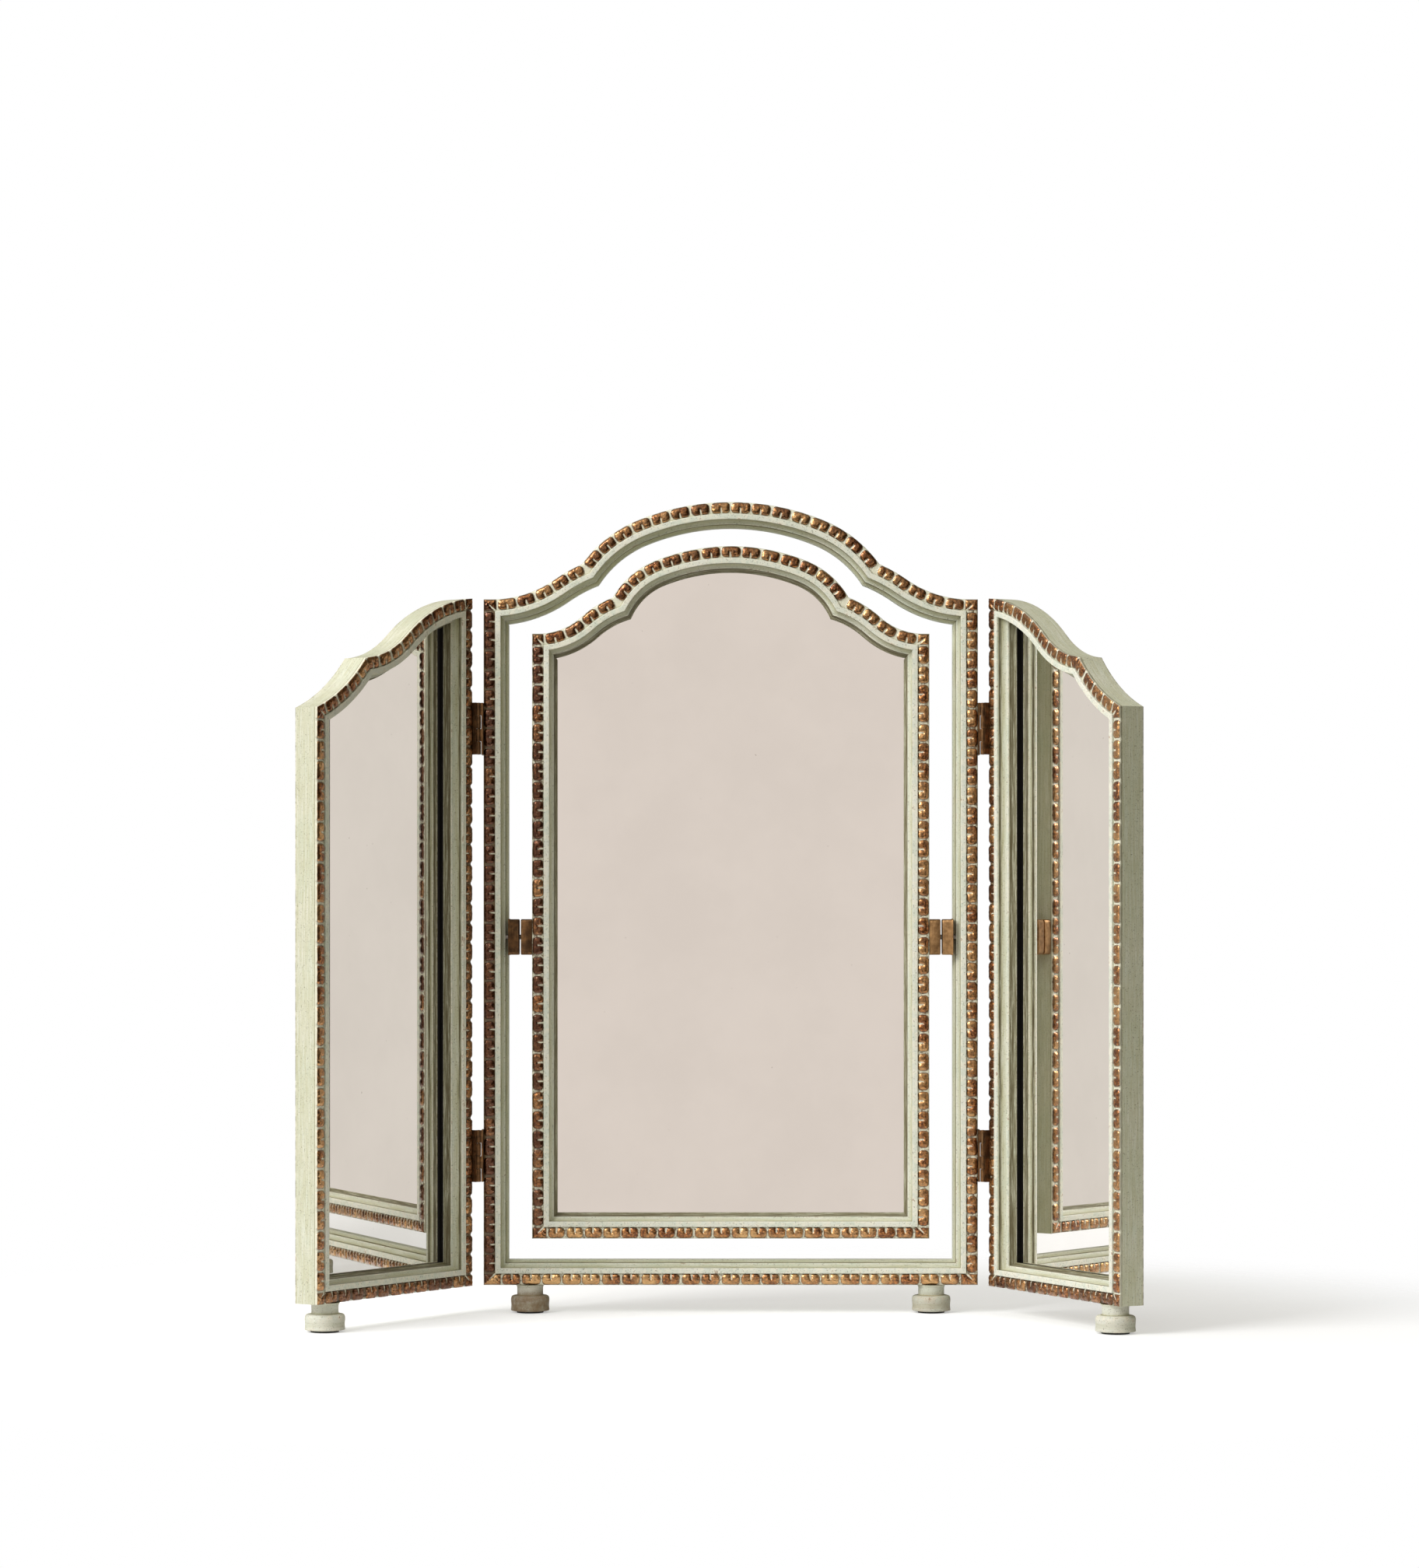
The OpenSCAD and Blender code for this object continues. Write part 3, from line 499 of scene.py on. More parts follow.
def hollow(a, b, count=7):
    """Points of the arc of radius HOLLOW_R that sags between a and b, away from the wood's corner."""
    a, b = np.array(a), np.array(b)
    chord = b - a
    span = np.hypot(*chord)
    out = np.array([chord[1], -chord[0]]) / span * math.sqrt(HOLLOW_R**2 - span**2 / 4)
    return arc_points((a + b) / 2 + out, a, b, HOLLOW_R, count)


def round_corner(before, corner, after, radius, count=4):
    """Arc that replaces a corner: it touches both sides at radius / tan(half of the corner's angle)."""
    before, corner, after = (np.array(p, float) for p in (before, corner, after))
    p, q = before - corner, after - corner
    p, q = p / np.hypot(*p), q / np.hypot(*q)
    half = math.acos(np.clip(p @ q, -1, 1)) / 2
    centre = corner + (p + q) / np.hypot(*(p + q)) * radius / math.sin(half)
    reach = radius / math.tan(half)
    return arc_points(centre, corner + p * reach, corner + q * reach, radius, count)


def rail_section(glazed):
    """Rows of (inwards, depth, crevice, edge) once round a rail, from the seat's outer edge."""
    # The crevice notes below darken the paint: glaze, and painted shade in the hollows and on the outer wall.
    corners = [
        # inwards, depth, radius of the rounded corner, crevice, edge
        (0, SEAT_D, 0.3, 0.95, 0.2), (BEAD_W, SEAT_D, 0.0, 1.0, 0), (BEAD_W, FILLET_D, 0.5, 0, 1.0),
        (QUIRK_X, FILLET_D, 0.5, 0, 1.0), (QUIRK_X, QUIRK_D, 0.0, 1.0, 0), "outer hollow",
        (INNER_X, LEDGE_D, 0.3, 0.2, 1.0), (INNER_X, LEDGE_LOW, 0.0, 1.0, 0), "inner hollow",
        # On a glazed rail the lip at the sight edge gets a high crevice note: painted shade by the glass.
        (RAIL_W, GLASS_D if glazed else FRAME_T, 0.4, 0.9 if glazed else 0.1, 0.6),
    ]
    if glazed:
        corners += [
            (RAIL_W - LIP, GLASS_D, 0, BLACKED_AND_SHADED, 0), (GLASS_IN, GLASS_D, 0, BLACKED_AND_SHADED, 0),
            (GLASS_IN, BOARD_D, 0, BLACKED_AND_SHADED, 0), (BOARD_IN, BOARD_D, 0, 1, 0),
            (BOARD_IN, FRAME_T, 0.4, 0.2, 0.5),
        ]
    corners.append((0, FRAME_T, 0.8, 0.95, 1.0))
    hollows = {"outer hollow": ((QUIRK_X, QUIRK_D), (LEDGE_X, LEDGE_D)),
               "inner hollow": ((INNER_X, LEDGE_LOW), (RAIL_W, SIGHT_D))}
    plain = [c for c in corners if not isinstance(c, str)]
    rows = []
    for c in corners:
        if isinstance(c, str):
            arc = hollow(*hollows[c])[1:]
            # By the glass the inner hollow stays dark all the way: glaze and painted shade under the lip.
            deep = np.linspace(1, 0.95 if glazed and c == "inner hollow" else 0.45, len(arc))  # crevice
            rows.append(np.column_stack([arc, deep, np.zeros(len(arc))]))
            continue
        x, y, radius, deep, worn = c
        place = plain.index(c)
        before, after = plain[place - 1][:2], plain[(place + 1) % len(plain)][:2]
        if c[:2] == (INNER_X, LEDGE_D):
            before = (LEDGE_X, LEDGE_D)
        arc = round_corner(before, (x, y), after, radius) if radius else np.array([[x, y]], float)
        rows.append(np.column_stack([arc, np.full(len(arc), deep), np.full(len(arc), worn)]))
    return np.concatenate(rows)


def split_long(rows, most=3.0, near=0.8, fade=0.68):
    """Adds points near both ends of the section's long flats, so that the notes of a corner fade there."""
    pieces = []
    for a, b in zip(rows, np.roll(rows, -1, axis=0)):
        span = np.hypot(*(b - a)[:2])
        if span <= most:
            pieces.append(a[None])
            continue
        split = a + (b - a) * np.array([0.0, near / span, 1 - near / span])[:, None]
        split[1:, 2:] = np.minimum(a[2:], b[2:]) * fade
        pieces.append(split)
    return np.concatenate(pieces)


SECTION = {glazed: split_long(rail_section(glazed)) for glazed in (True, False)}
print("points round a glazed rail:", len(SECTION[True]), " and a plain one:", len(SECTION[False]))


# %% [markdown]
# ## Carrying the section round a leaf
#
# Each rail is the section carried along one or more sides. Rings lie close together on the curves
# and further apart on the straights, where nothing changes. Where a rail turns a corner, the last
# ring of one side and the first ring of the next share the mitre, so their mean is used for both.


# %% Rails
RING_STEP, DRAW_OUT = 3.5, 40.0
SIDE_SHIFT = 0.01  # moves the brush marks from one rail to the next


def side_places(side, step):
    """Distances along a side, about a step apart, with every change of curve among them."""
    ends = np.append(side["rows"][:, 0], side["length"])
    parts = [np.linspace(a, b, max(2, int((b - a) / step) + 1))[:-1] for a, b in zip(ends, ends[1:])]
    return np.append(np.concatenate(parts), side["length"])


def chain(parts, closed):
    """Joins the rings of neighbouring sides; the two rings at a mitre become their mean."""
    joined = []
    for before, part in zip([parts[-1], *parts], parts):
        joined += [[(before[-1] + part[0]) / 2], part[1:-1]]
    if not closed:
        joined = [parts[0][:1], *joined[1:], parts[-1][-1:]]
    return np.concatenate(joined)


def rail(node, place, sides, glazed):
    """Carries the rail section along the named sides of a leaf and caps both ends at the mitres."""
    leaf, rows = LEAVES[DRAWING[place]], SECTION[glazed]
    around = np.cumsum(np.hypot(*np.diff(rows[:, :2], axis=0, prepend=rows[:1, :2]).T))
    parts, gone = [], 0.0
    for i in sides:
        along = lay_side(leaf, i, side_places(leaf[i], RING_STEP), rows[:, 0], DRAW_OUT)
        x, y = walk(leaf[i], along, rows[:, 0])
        flat = np.broadcast_to(rows[:, 1], x.shape)
        parts.append(np.stack([x, y, flat, gone + along, np.broadcast_to(around, x.shape)], -1))
        gone += leaf[i]["length"]
    x, y, depth, along, around = np.moveaxis(chain(parts, False), -1, 0)
    notes = {name: np.tile(rows[:, k], (len(x), 1)) for name, k in (("crevice", 2), ("edge", 3))}
    notes["lay"] = np.stack([along * MM, around * MM, np.full(x.shape, SIDE_SHIFT * sides[0])], -1)
    room = stand(place, x, y, depth)
    return skin(node, "_moulding", room, False, 40, painted_wood, BODY[place], "painted_wood", **notes)


FRAME_RAILS = {"bottom_rail": [0], "right_stile": [1], "top_rail": [2, 3, 4], "left_stile": [5]}
WING_RAILS = {"bottom_rail": [0], "outer_stile": [1], "top_rail": [2, 3], "inner_stile": [4]}
PREFIX = {"centre": "centre_", "tilt": "tilt_", "left": "left_wing_", "right": "right_wing_"}
for place, prefix in PREFIX.items():
    for part, sides in (WING_RAILS if place in SIGN else FRAME_RAILS).items():
        print(rail(prefix + part, place, sides, place != "centre"))

# %% [markdown]
# ## Gilding
#
# The carving was covered with white gesso and red-brown clay, gilded, and rubbed for a century. The
# high parts shine like copper, the low sides are painted dark as patina and as shade, and between the
# beads the old ground shows. All of that follows the relief, so the carving writes its own notes: gild
# is 1 on a bead and 0 on the ground, height is how proud a point stands, the tone note differs at
# random from bead to bead and also carries painted light and shade for each side, and pale says how
# cream the ground is: dusted cream along the tops and outer edges, brown where dirt and painted shade
# lie, in the sheltered places and on the shaded sides.


# %% Copper-coloured gilding over a pale ground
def rubbed_gilding(name):
    """Gilding that reads the notes gild, height, tone and pale, over the ground between the beads."""
    material, tree, shader, where = new_material(name)
    gild, height, tone_and_light, pale = (attribute(tree, note) for note in ("gild", "height", "tone_and_light", "pale"))
    patina = noise(tree, where, 420.0, 4.0, 0.6)
    scuffs = noise(tree, where, 1100.0, 3.0, 0.6)
    drift = noise(tree, where, 45.0, 2.0)

    proud = between(tree, height, 0.05, 0.55)
    # Painted light: the gilding is lighter where the tone note is high.
    lit_gilding = maths(tree, "MULTIPLY", tone_and_light, between(tree, drift, 0.35, 0.65))
    worn = maths(tree, "MULTIPLY", proud, between(tree, scuffs, 0.66, 0.71, 0.8))
    metal = coats(
        tree, (96, 54, 25),
        (between(tree, patina, 0.4, 0.68), (182, 118, 62)),
        (lit_gilding, (232, 190, 128)),
        # Painted shade: the gilding is darker where the tone note is low.
        (between(tree, tone_and_light, 0.3, 0.0, 0.85), (72, 36, 14)),
        # Low sides of the relief darker: patina, and painted shade around each bead.
        (maths(tree, "SUBTRACT", 1.0, proud), (64, 36, 18)),
        (worn, (238, 214, 182)),
    )
    clean_and_lit = maths(tree, "ADD", maths(tree, "MULTIPLY", pale, 0.7), patina)
    # Ground: cream where the ground is clean and lit, brown where it is low, which is dirt and painted shade.
    ground = coats(tree, (106, 86, 56), (between(tree, clean_and_lit, 0.66, 0.9), (222, 219, 196)))
    polish = spread(tree, patina, 0.1, 0.36)
    rough = add(tree, "ShaderNodeMix", {0: gild, 2: 0.8, 3: polish}, data_type="FLOAT").outputs[0]
    surface(tree, shader, mix(tree, gild, ground, metal), rough, (patina, 0.0004, 0.6), (scuffs, 0.0002, 0.7))
    tree.links.new(maths(tree, "MULTIPLY", gild, 0.9), shader.inputs["Metallic"])
    shader.inputs["Coat Weight"].default_value = 0.5
    shader.inputs["Coat Roughness"].default_value = 0.1
    return material


gilded = rubbed_gilding("gilt_beading")
print(gilded.name, "has", len(gilded.node_tree.nodes), "nodes")

# %% [markdown]
# ## The carved beading
#
# The same small ornament repeats along every edge. It is a horseshoe: two domed lobes that join at
# the outer side, with a notch open towards the glass, and a bar of bare ground before the next one.
# Sculpting almost four hundred of them by hand would take days, and an image of them would be flat.
# Instead the height is a formula of two distances, how far along and how far in, so the carving
# follows every curve and stops neatly at the blocks that fill the sharp corners. Where two sides
# meet at a slight bend there is no block, only a small gap.
#
# The lists below hold one value for each side of a leaf, from the bottom rail anticlockwise. BEADS
# are counts, BLOCKS lengths. PALE says how cream the ground is, from dust and painted light, and how
# brown, from dirt and painted shade. The table of how bright the gilding is on each side is painted
# light and shade, low on shaded sides. RIM is where the beads of a leaf start. It is negative on the
# wings, so the edge cuts their beads off.

# %% Height of the carving
BEADS = {"centre": [23, 34, 5, 16, 5, 34], "tilt": [20, 30, 4, 13, 4, 30], "wing": [11, 28, 4, 9, 34]}
BLOCKS = {"centre": [17.4, 11.6, 13.0, 0, 13.0, 11.6], "tilt": [14.8, 11.6, 11.6, 0, 11.6, 11.6],
          "wing": [11.6] * 5}
# How cream the ground between the beads is on each side: dust and painted light; low values paint it brown as
# dirt and painted shade, as on the left stiles.
PALE = {"centre": [0.5, 0.45, 0.9, 1.0, 0.9, 0.1], "tilt": [0.5, 0.5, 0.8, 0.9, 0.8, 0.42],
        "wing": [0.2, 0.6, 0.8, 0.8, 0.2]}
# Painted light and shade on the gilding, one value for each side: low on shaded sides such as the left
# stiles, high on lit ones.
SIDE_LIGHT_ON_GILDING = {"centre": [0.46, 0.36, 0.3, 0.26, 0.22, 0.04], "tilt": [0.46, 0.36, 0.3, 0.26, 0.22, 0.1],
         "wing": [0.2, 0.38, 0.3, 0.3, 0.2]}
RIM = {"centre": 0.3, "tilt": 0.4, "wing": -1.1}
GROUND_D, BEAD_H = 2.7, 2.35
FALL, FALL_W, TROUGH, TROUGH_W = 0.6, 2.6, 0.5, 1.1  # how the ground sinks at its outer and inner edge
REACH, BEAD_ROUND, GAP, CUSP = 10.9, 3.7, 1.6, 0.4  # inner end and corner of a bead, and the gaps
NOTCH_AT, NOTCH_R, LOBE_R = 6.0, 0.5, 3.5
BEAD_DOME, BLOCK_DOME, BLOCK_MARGIN, RIPPLE = 4.8, 4.6, 0.9, 3.1
DIMPLE_U, DIMPLE_V, DIMPLE_R = 4.1, 5.8, 1.2
BURR_AT, BURR_R, BURR_H = 0.65, 0.35, 0.1
SHARP = math.radians(30)  # half of the smallest turn that has a block


def dome(t):
    """Quarter circle: 0 at t = 0, rising steeply to 1 at t = 1."""
    return np.sqrt(1 - (1 - np.clip(t, 0, 1)) ** 2)


def cloudy(s, r, cell, seed):
    """Smooth noise from -1 to 1: random numbers at points a cell apart, blended between them."""
    table = np.random.default_rng(seed).uniform(-1, 1, (1024, 64))
    i, j = np.floor(s / cell).astype(int), np.floor(r / cell).astype(int)
    u, v = s / cell - i, r / cell - j
    u, v = u * u * (3 - 2 * u), v * v * (3 - 2 * v)
    near = table[i % 1024, j % 64] * (1 - u) + table[(i + 1) % 1024, j % 64] * u
    far = table[i % 1024, (j + 1) % 64] * (1 - u) + table[(i + 1) % 1024, (j + 1) % 64] * u
    return near * (1 - v) + far * v


def rounded_box(u, v, half_u, half_v, corner):
    """Distance inside a rectangle with round corners: minus its usual signed distance."""
    p, q = np.abs(u) - half_u + corner, np.abs(v) - half_v + corner
    return corner - np.hypot(np.maximum(p, 0), np.maximum(q, 0)) - np.minimum(np.maximum(p, q), 0)


def block_length(drawing, i, corner):
    """How much of side i the block takes up at the corner after side `corner`."""
    return BLOCKS[drawing][i] if abs(corner_after(LEAVES[drawing], corner)[3]) > SHARP else CUSP


def carve(drawing, i, s, r, seed):
    """Height from 0 to 1, bead mask, tone and notch at distance s along side i and r inside its edge.

    A lobe is a quarter-circle dome over the distance to the bead's rounded outline, times another
    over the distance to its notch. A corner block is one dome, creased at the mitre and rippled.
    Outside each outline the ground rises in a low burr, where the chisel pushed it up.
    """
    leaf, count, rim = LEAVES[drawing], BEADS[drawing][i], RIM[drawing]
    length = leaf[i]["length"]
    first, last = block_length(drawing, i, i - 1), block_length(drawing, i, i)
    pitch = (length - first - last) / count
    index = np.clip(np.floor((s - first) / pitch), 0, count - 1).astype(int)
    chance = np.random.default_rng(seed).uniform(-1, 1, (5, count))[:, index]
    u = s - first - (index + 0.5) * pitch
    u = u + 0.25 * chance[0] + 0.35 * cloudy(s, r, 5.0, seed + 1)
    v = r + 0.3 * cloudy(s, r, 4.0, seed + 2)
    half_u, half_v = (pitch - GAP) / 2 + 0.3 * chance[1], (REACH - rim) / 2
    inside = rounded_box(u, v - (REACH + rim) / 2, half_u, half_v, BEAD_ROUND)
    end_block = s > length - last
    block = (s < first) | end_block
    from_corner = np.where(end_block, length - s, s)
    size = np.where(end_block, last, first)
    lean = np.where(end_block, corner_after(leaf, i)[3], corner_after(leaf, i - 1)[3])
    from_mitre = from_corner * np.cos(lean) - r * np.abs(np.sin(lean))
    notch = np.hypot(np.where(block, from_mitre, u + 0.5 * chance[2]), np.minimum(v - NOTCH_AT, 0))
    notch = notch - NOTCH_R - 0.1 * np.maximum(v - NOTCH_AT, 0)
    lobes = 0.42 + 0.58 * dome(notch / LOBE_R)
    height = dome(inside / BEAD_DOME) * lobes * (0.92 + 0.08 * chance[3])
    height *= 0.85 + 0.15 * np.clip((v - 1.5) / 4, 0, 1)
    dimple = np.hypot(np.abs(u) - DIMPLE_U + 0.4 * chance[2], v - DIMPLE_V - 0.5 * chance[0])
    height -= (0.07 + 0.07 * chance[1]) * np.exp(-((dimple / DIMPLE_R) ** 2))
    height += 0.06 * cloudy(s, r, 1.9, seed + 3) * np.clip(inside, 0, 1)
    height = np.clip(height, 0, 1)

    square = np.minimum(np.minimum(r - rim, REACH - r), size - BLOCK_MARGIN - from_corner)
    square = np.where(size > CUSP, square, -1.0)
    along_mitre = r * np.cos(lean) + from_corner * np.abs(np.sin(lean))
    ripple = 0.88 + 0.08 * np.cos(2 * math.pi * along_mitre / RIPPLE)
    inside = np.where(block, square, inside)
    height = np.where(block, dome(square / BLOCK_DOME) * lobes * ripple, height)

    burr = BURR_H * np.exp(-(((-inside - BURR_AT) / BURR_R) ** 2))
    mask = np.clip(inside / 0.5 + 0.5, 0, 1) * np.clip(notch / 0.4 + 0.5, 0, 1)
    # The notch heads are painted pale cream: bare gesso, and a painted highlight there too.
    head = 0.6 * np.clip(0.5 - notch / 0.8, 0, 1)
    # The tone note: painted light and shade of the side, plus a random tone for each bead.
    tone_and_light = SIDE_LIGHT_ON_GILDING[drawing][i] + np.where(block, 0, 0.12 * chance[4])
    return np.maximum(height, burr), mask, np.clip(tone_and_light, 0, 1), head


print("a bead's crest is", round(GROUND_D - BEAD_H, 2), "mm behind the front of the frame")


# %% Carry the carving round a leaf
CARVED_STEP, CARVED_LINES, CARVED_DRAW_OUT, CUT_W = 0.72, 23, 20.0, 2.2
SEEDS = 100


def beading(place, seed):
    """Closed band of carving. Depth = ground - height; between beads the outer wall is cut back.

    The wall below the beads belongs to the painted side, so it is neither gilded nor brown.
    """
    drawing = DRAWING[place]
    leaf, clean_and_lit = LEAVES[drawing], PALE[drawing]
    r = np.concatenate([[0, 0], np.linspace(0.0, BEAD_W, CARVED_LINES), [BEAD_W, BEAD_W / 2]])
    parts = []
    for i, side in enumerate(leaf):
        places = np.linspace(0, side["length"], int(side["length"] / CARVED_STEP))
        along = lay_side(leaf, i, places, r, CARVED_DRAW_OUT)
        height, gild, tone_and_light, head = carve(drawing, i, along, np.broadcast_to(r, along.shape), seed + 10 * i)
        ground = GROUND_D + FALL * np.clip(1 - r / FALL_W, 0, 1) ** 2
        ground = ground + TROUGH * np.clip((r - BEAD_W) / TROUGH_W + 1, 0, 1)
        ground = ground + 0.12 * cloudy(along, r, 1.3, seed + 5)
        depth = ground - BEAD_H * height
        edge_height = height[:, 2:3]
        depth[:, 0] = SEAT_D
        depth[:, 1] = depth[:, 2] * 0.93 + SEAT_D * 0.07
        depth[:, -2:] = SEAT_D
        gild[:, :2] = 0
        gild[:, 2] *= 0.6
        cut = 1.9 - 1.5 * clean_and_lit[i] if RIM[drawing] < 0 else 0.25
        hollowed = cut * (1 - np.clip(edge_height * 2.4, 0, 1)) * np.clip(1 - r / CUT_W, 0, 1)
        hollowed[:, [0, -2, -1]] = 0
        x, y = walk(side, along, r + hollowed)
        pale = np.maximum(np.where(np.arange(len(r)) < 2, 1.0, clean_and_lit[i]), head)
        parts.append(np.stack([x, y, depth, height, gild, tone_and_light, np.broadcast_to(pale, x.shape)], -1))
    x, y, depth, *values = np.moveaxis(chain(parts, True), -1, 0)
    notes = dict(zip(("height", "gild", "tone_and_light", "pale"), values))
    node, room = PREFIX[place] + "gilt_beading", stand(place, x, y, depth)
    made = skin(node, "_carved", room, True, None, gilded, BODY[place], "gilt_beading", **notes)
    return f"{made}, {sum(BEADS[drawing])} beads"


for seed, place in enumerate(BODY, 1):
    print(beading(place, SEEDS * seed))

# %% [markdown]
# ## Silvered glass
#
# A mirror is clear glass with silver on its back, and the eye sees only the silver. A mirror of real
# glass and silver would need many light bounces, so one polished sheet just in front of the glass's
# back stands for both. That leaves the dark line between the frame and its own image.
# A mirror seen in another mirror shows no reflection but glows plain beige, a painted reflection of the room,
# as it does in the photograph.


# %% Mirrors
def silvering(name):
    """Old silver: a nearly perfect mirror, a little grey, with faint haze that drifts over it, which glows
    beige as a painted reflection when seen in another mirror.
    """
    material, tree, shader, where = new_material(name)
    haze = noise(tree, where, 9.0, 4.0, 0.6)
    spots = noise(tree, where, 260.0, 2.0)
    silver = coats(
        tree, (246, 244, 241),
        (between(tree, haze, 0.3, 0.7), (241, 239, 236)),
        (between(tree, spots, 0.76, 0.8, 0.4), (150, 142, 130)),
    )
    ripple = noise(tree, where, 3.0, 1.0)
    surface(tree, shader, silver, spread(tree, haze, 0.004, 0.02), (ripple, 0.00004, 0.3))
    shader.inputs["Metallic"].default_value = 1.0
    # Painted reflection: seen in another mirror, this mirror glows plain beige instead of reflecting.
    painted_reflection = add(tree, "ShaderNodeEmission", {"Color": colour(216, 209, 201), "Strength": 1.08}).outputs[0]
    in_mirror = add(tree, "ShaderNodeLightPath").outputs["Is Glossy Ray"]
    shown = mix_shaders(tree, in_mirror, shader.outputs[0], painted_reflection)
    tree.links.new(shown, tree.nodes["Material Output"].inputs["Surface"])
    return material


silvered = silvering("mirror_glass")
SILVER_D, GLASS_BACK, GLASS_EDGE = 23.1, 23.5, 18.5


def mirror(place):
    """Sheet whose edge is the leaf's outline moved in by GLASS_EDGE, from mitre to mitre."""
    leaf = LEAVES[DRAWING[place]]
    inset = np.array([GLASS_EDGE])
    lines = []
    for i, side in enumerate(leaf):
        along = lay_side(leaf, i, side_places(side, 4.0), inset, DRAW_OUT)
        lines.append(np.stack(walk(side, along, inset), -1)[:-1, 0])
    x, y = np.concatenate(lines).T
    rims = np.stack([stand(place, x, y, np.full(len(x), d)) for d in (SILVER_D, GLASS_BACK)])
    return skin(PREFIX[place] + "glass", "_silvered", rims, False, 30, silvered, BODY[place], "mirror_glass")


for place in ("tilt", "left", "right"):
    print(mirror(place))

# %% [markdown]
# ## Turned feet
#
# Each foot came off a lathe: a disc with a rounded top edge and a shallow groove, a neck, and a
# slight flare under the rail. Blender's Screw modifier would do it, but then the wear could not
# know the shape. A profile spun in numpy can carry the same notes as the mouldings. The feet of the
# middle leaf are painted darker and browner low down than the wings', and the left one of them most
# of all: dirt together with painted shade.

# %% Feet
FRAME_FOOT_X, WING_FOOT_IN, WRAP_R = 194.0, 26.0, 18.0
# High crevice notes darken the groove under the disc and the joint under the rail: glaze and painted shade.
FOOT_PROFILE = np.array([
    # radius, height, crevice, edge
    (17.6, 2.0, 0.6, 0.2), (18.3, 2.2, 0.2, 0.6), (18.6, 2.8, 0.1, 1.0), (18.42, 4.4, 0.3, 0.4),
    (18.24, 6.2, 0.45, 0.1), (18.22, 7.6, 0.45, 0.1), (18.32, 9.2, 0.4, 0.1), (18.55, 11.2, 0.2, 0.5),
    (18.6, 13.0, 0.1, 0.8), (18.35, 14.7, 0.0, 1.0), (17.7, 15.9, 0.0, 1.0), (16.6, 16.6, 0.0, 0.8),
    (15.6, 16.8, 0.1, 0.3), (13.6, 16.85, 0.6, 0.0), (12.9, 17.0, 1.0, 0.0), (12.55, 17.5, 0.8, 0.0),
    (12.5, 19.0, 0.3, 0.0), (12.5, 22.0, 0.15, 0.0), (12.5, 24.4, 0.3, 0.0), (12.75, 25.2, 0.4, 0.1),
    (13.4, 26.4, 0.3, 0.6), (13.7, 26.9, 0.6, 0.6), (13.6, 27.2, 1.0, 0.0),
])
# The middle feet get more of that darkening, the left one most: dirt and painted shade.
soiled_and_shaded, dusty_and_shaded = old_paint("soiled_shaded_foot", 0.95), old_paint("dusty_shaded_foot", 0.45)
clean_and_lit = old_paint("turned_feet", 0.15)
FEET = {
    "centre_left_foot": ("centre", -FRAME_FOOT_X, soiled_and_shaded),
    "centre_right_foot": ("centre", FRAME_FOOT_X, dusty_and_shaded),
    "left_wing_foot": ("left", WING_W - WING_FOOT_IN, clean_and_lit),
    "right_wing_foot": ("right", WING_W - WING_FOOT_IN, clean_and_lit),
}


def foot(node, place, across, paint, around=72):
    """The profile spun about a post: x = radius cos t and y = radius sin t, closed at top and bottom."""
    t = np.linspace(0, 2 * math.pi, around, endpoint=False)
    radius, height, crevice, edge = (np.tile(column[:, None], around) for column in FOOT_PROFILE.T)
    room = stand(place, across + radius * np.cos(t), height - FOOT_H, FRAME_T / 2 + radius * np.sin(t))
    lay = np.stack(np.broadcast_arrays(t * WRAP_R * MM, height * MM, 0.5), -1)
    notes = {"crevice": crevice, "edge": edge, "lay": lay}
    return skin(node, "_turned", room, False, 50, paint, BODY[place], "painted_wood", **notes)


print(*(foot(node, *where) for node, where in FEET.items()), sep="\n")

# %% [markdown]
# ## Bronze
#
# The hinges and the pivot blocks are bronze, gone dark brown. Metal that has been filed and rubbed
# has fine scratches along one direction, and it is brighter where hands and cloths reach. The
# scratches are noise squeezed hard along two axes. The bronze comes in a darker and a paler copy:
# the left pivot blocks get the darker one as painted shade, the right ones the paler one as painted
# light.


# %% Aged bronze
def aged_bronze(name, dark, light, rubbed):
    """Brown metal with upright brush marks and lighter patches."""
    material, tree, shader, where = new_material(name)
    brushed = noise(tree, stretched(tree, where, 1700, 1700, 45), 1.0, 3.0, 0.6)
    patches = noise(tree, where, 160.0, 4.0, 0.6)
    scratched = between(tree, brushed, 0.55, 0.75, rubbed)
    metal = coats(tree, dark, (between(tree, patches, 0.35, 0.7), light), (scratched, (214, 172, 120)))
    rough = spread(tree, brushed, 0.3, 0.55)
    surface(tree, shader, metal, rough, (brushed, 0.00012, 0.6), (patches, 0.0002, 0.4))
    shader.inputs["Metallic"].default_value = 0.9
    return material


dark_and_shaded_bronze = aged_bronze("dark_and_shaded_bronze", (84, 60, 40), (128, 92, 58), 0.35)
pale_and_lit_bronze = aged_bronze("rubbed_and_lit_bronze", (128, 96, 62), (176, 136, 92), 0.5)
print(dark_and_shaded_bronze.name, "and", pale_and_lit_bronze.name)

# %% [markdown]
# ## Pivot blocks
#
# The mirror hangs between two pairs of metal slabs. A cube with a bevel would come close, but these
# slabs are pierced for the pin, and the frame's slab swells a little where it meets the wood. So
# each is a rounded rectangle carried through a few steps, in through the bore and out again, which
# closes on itself like a tyre.

# %% Slabs with a bore
BLOCK_H, BLOCK_D, SIDE_GAP = 34.5, 20.0, 23.1
FRAME_BLOCK_T, MIRROR_BLOCK_T, PIN_R, BUSH_R = 10.4, 10.9, 2.4, 3.5
SQUARENESS = 0.22  # 1 would be an ellipse and 0 a rectangle


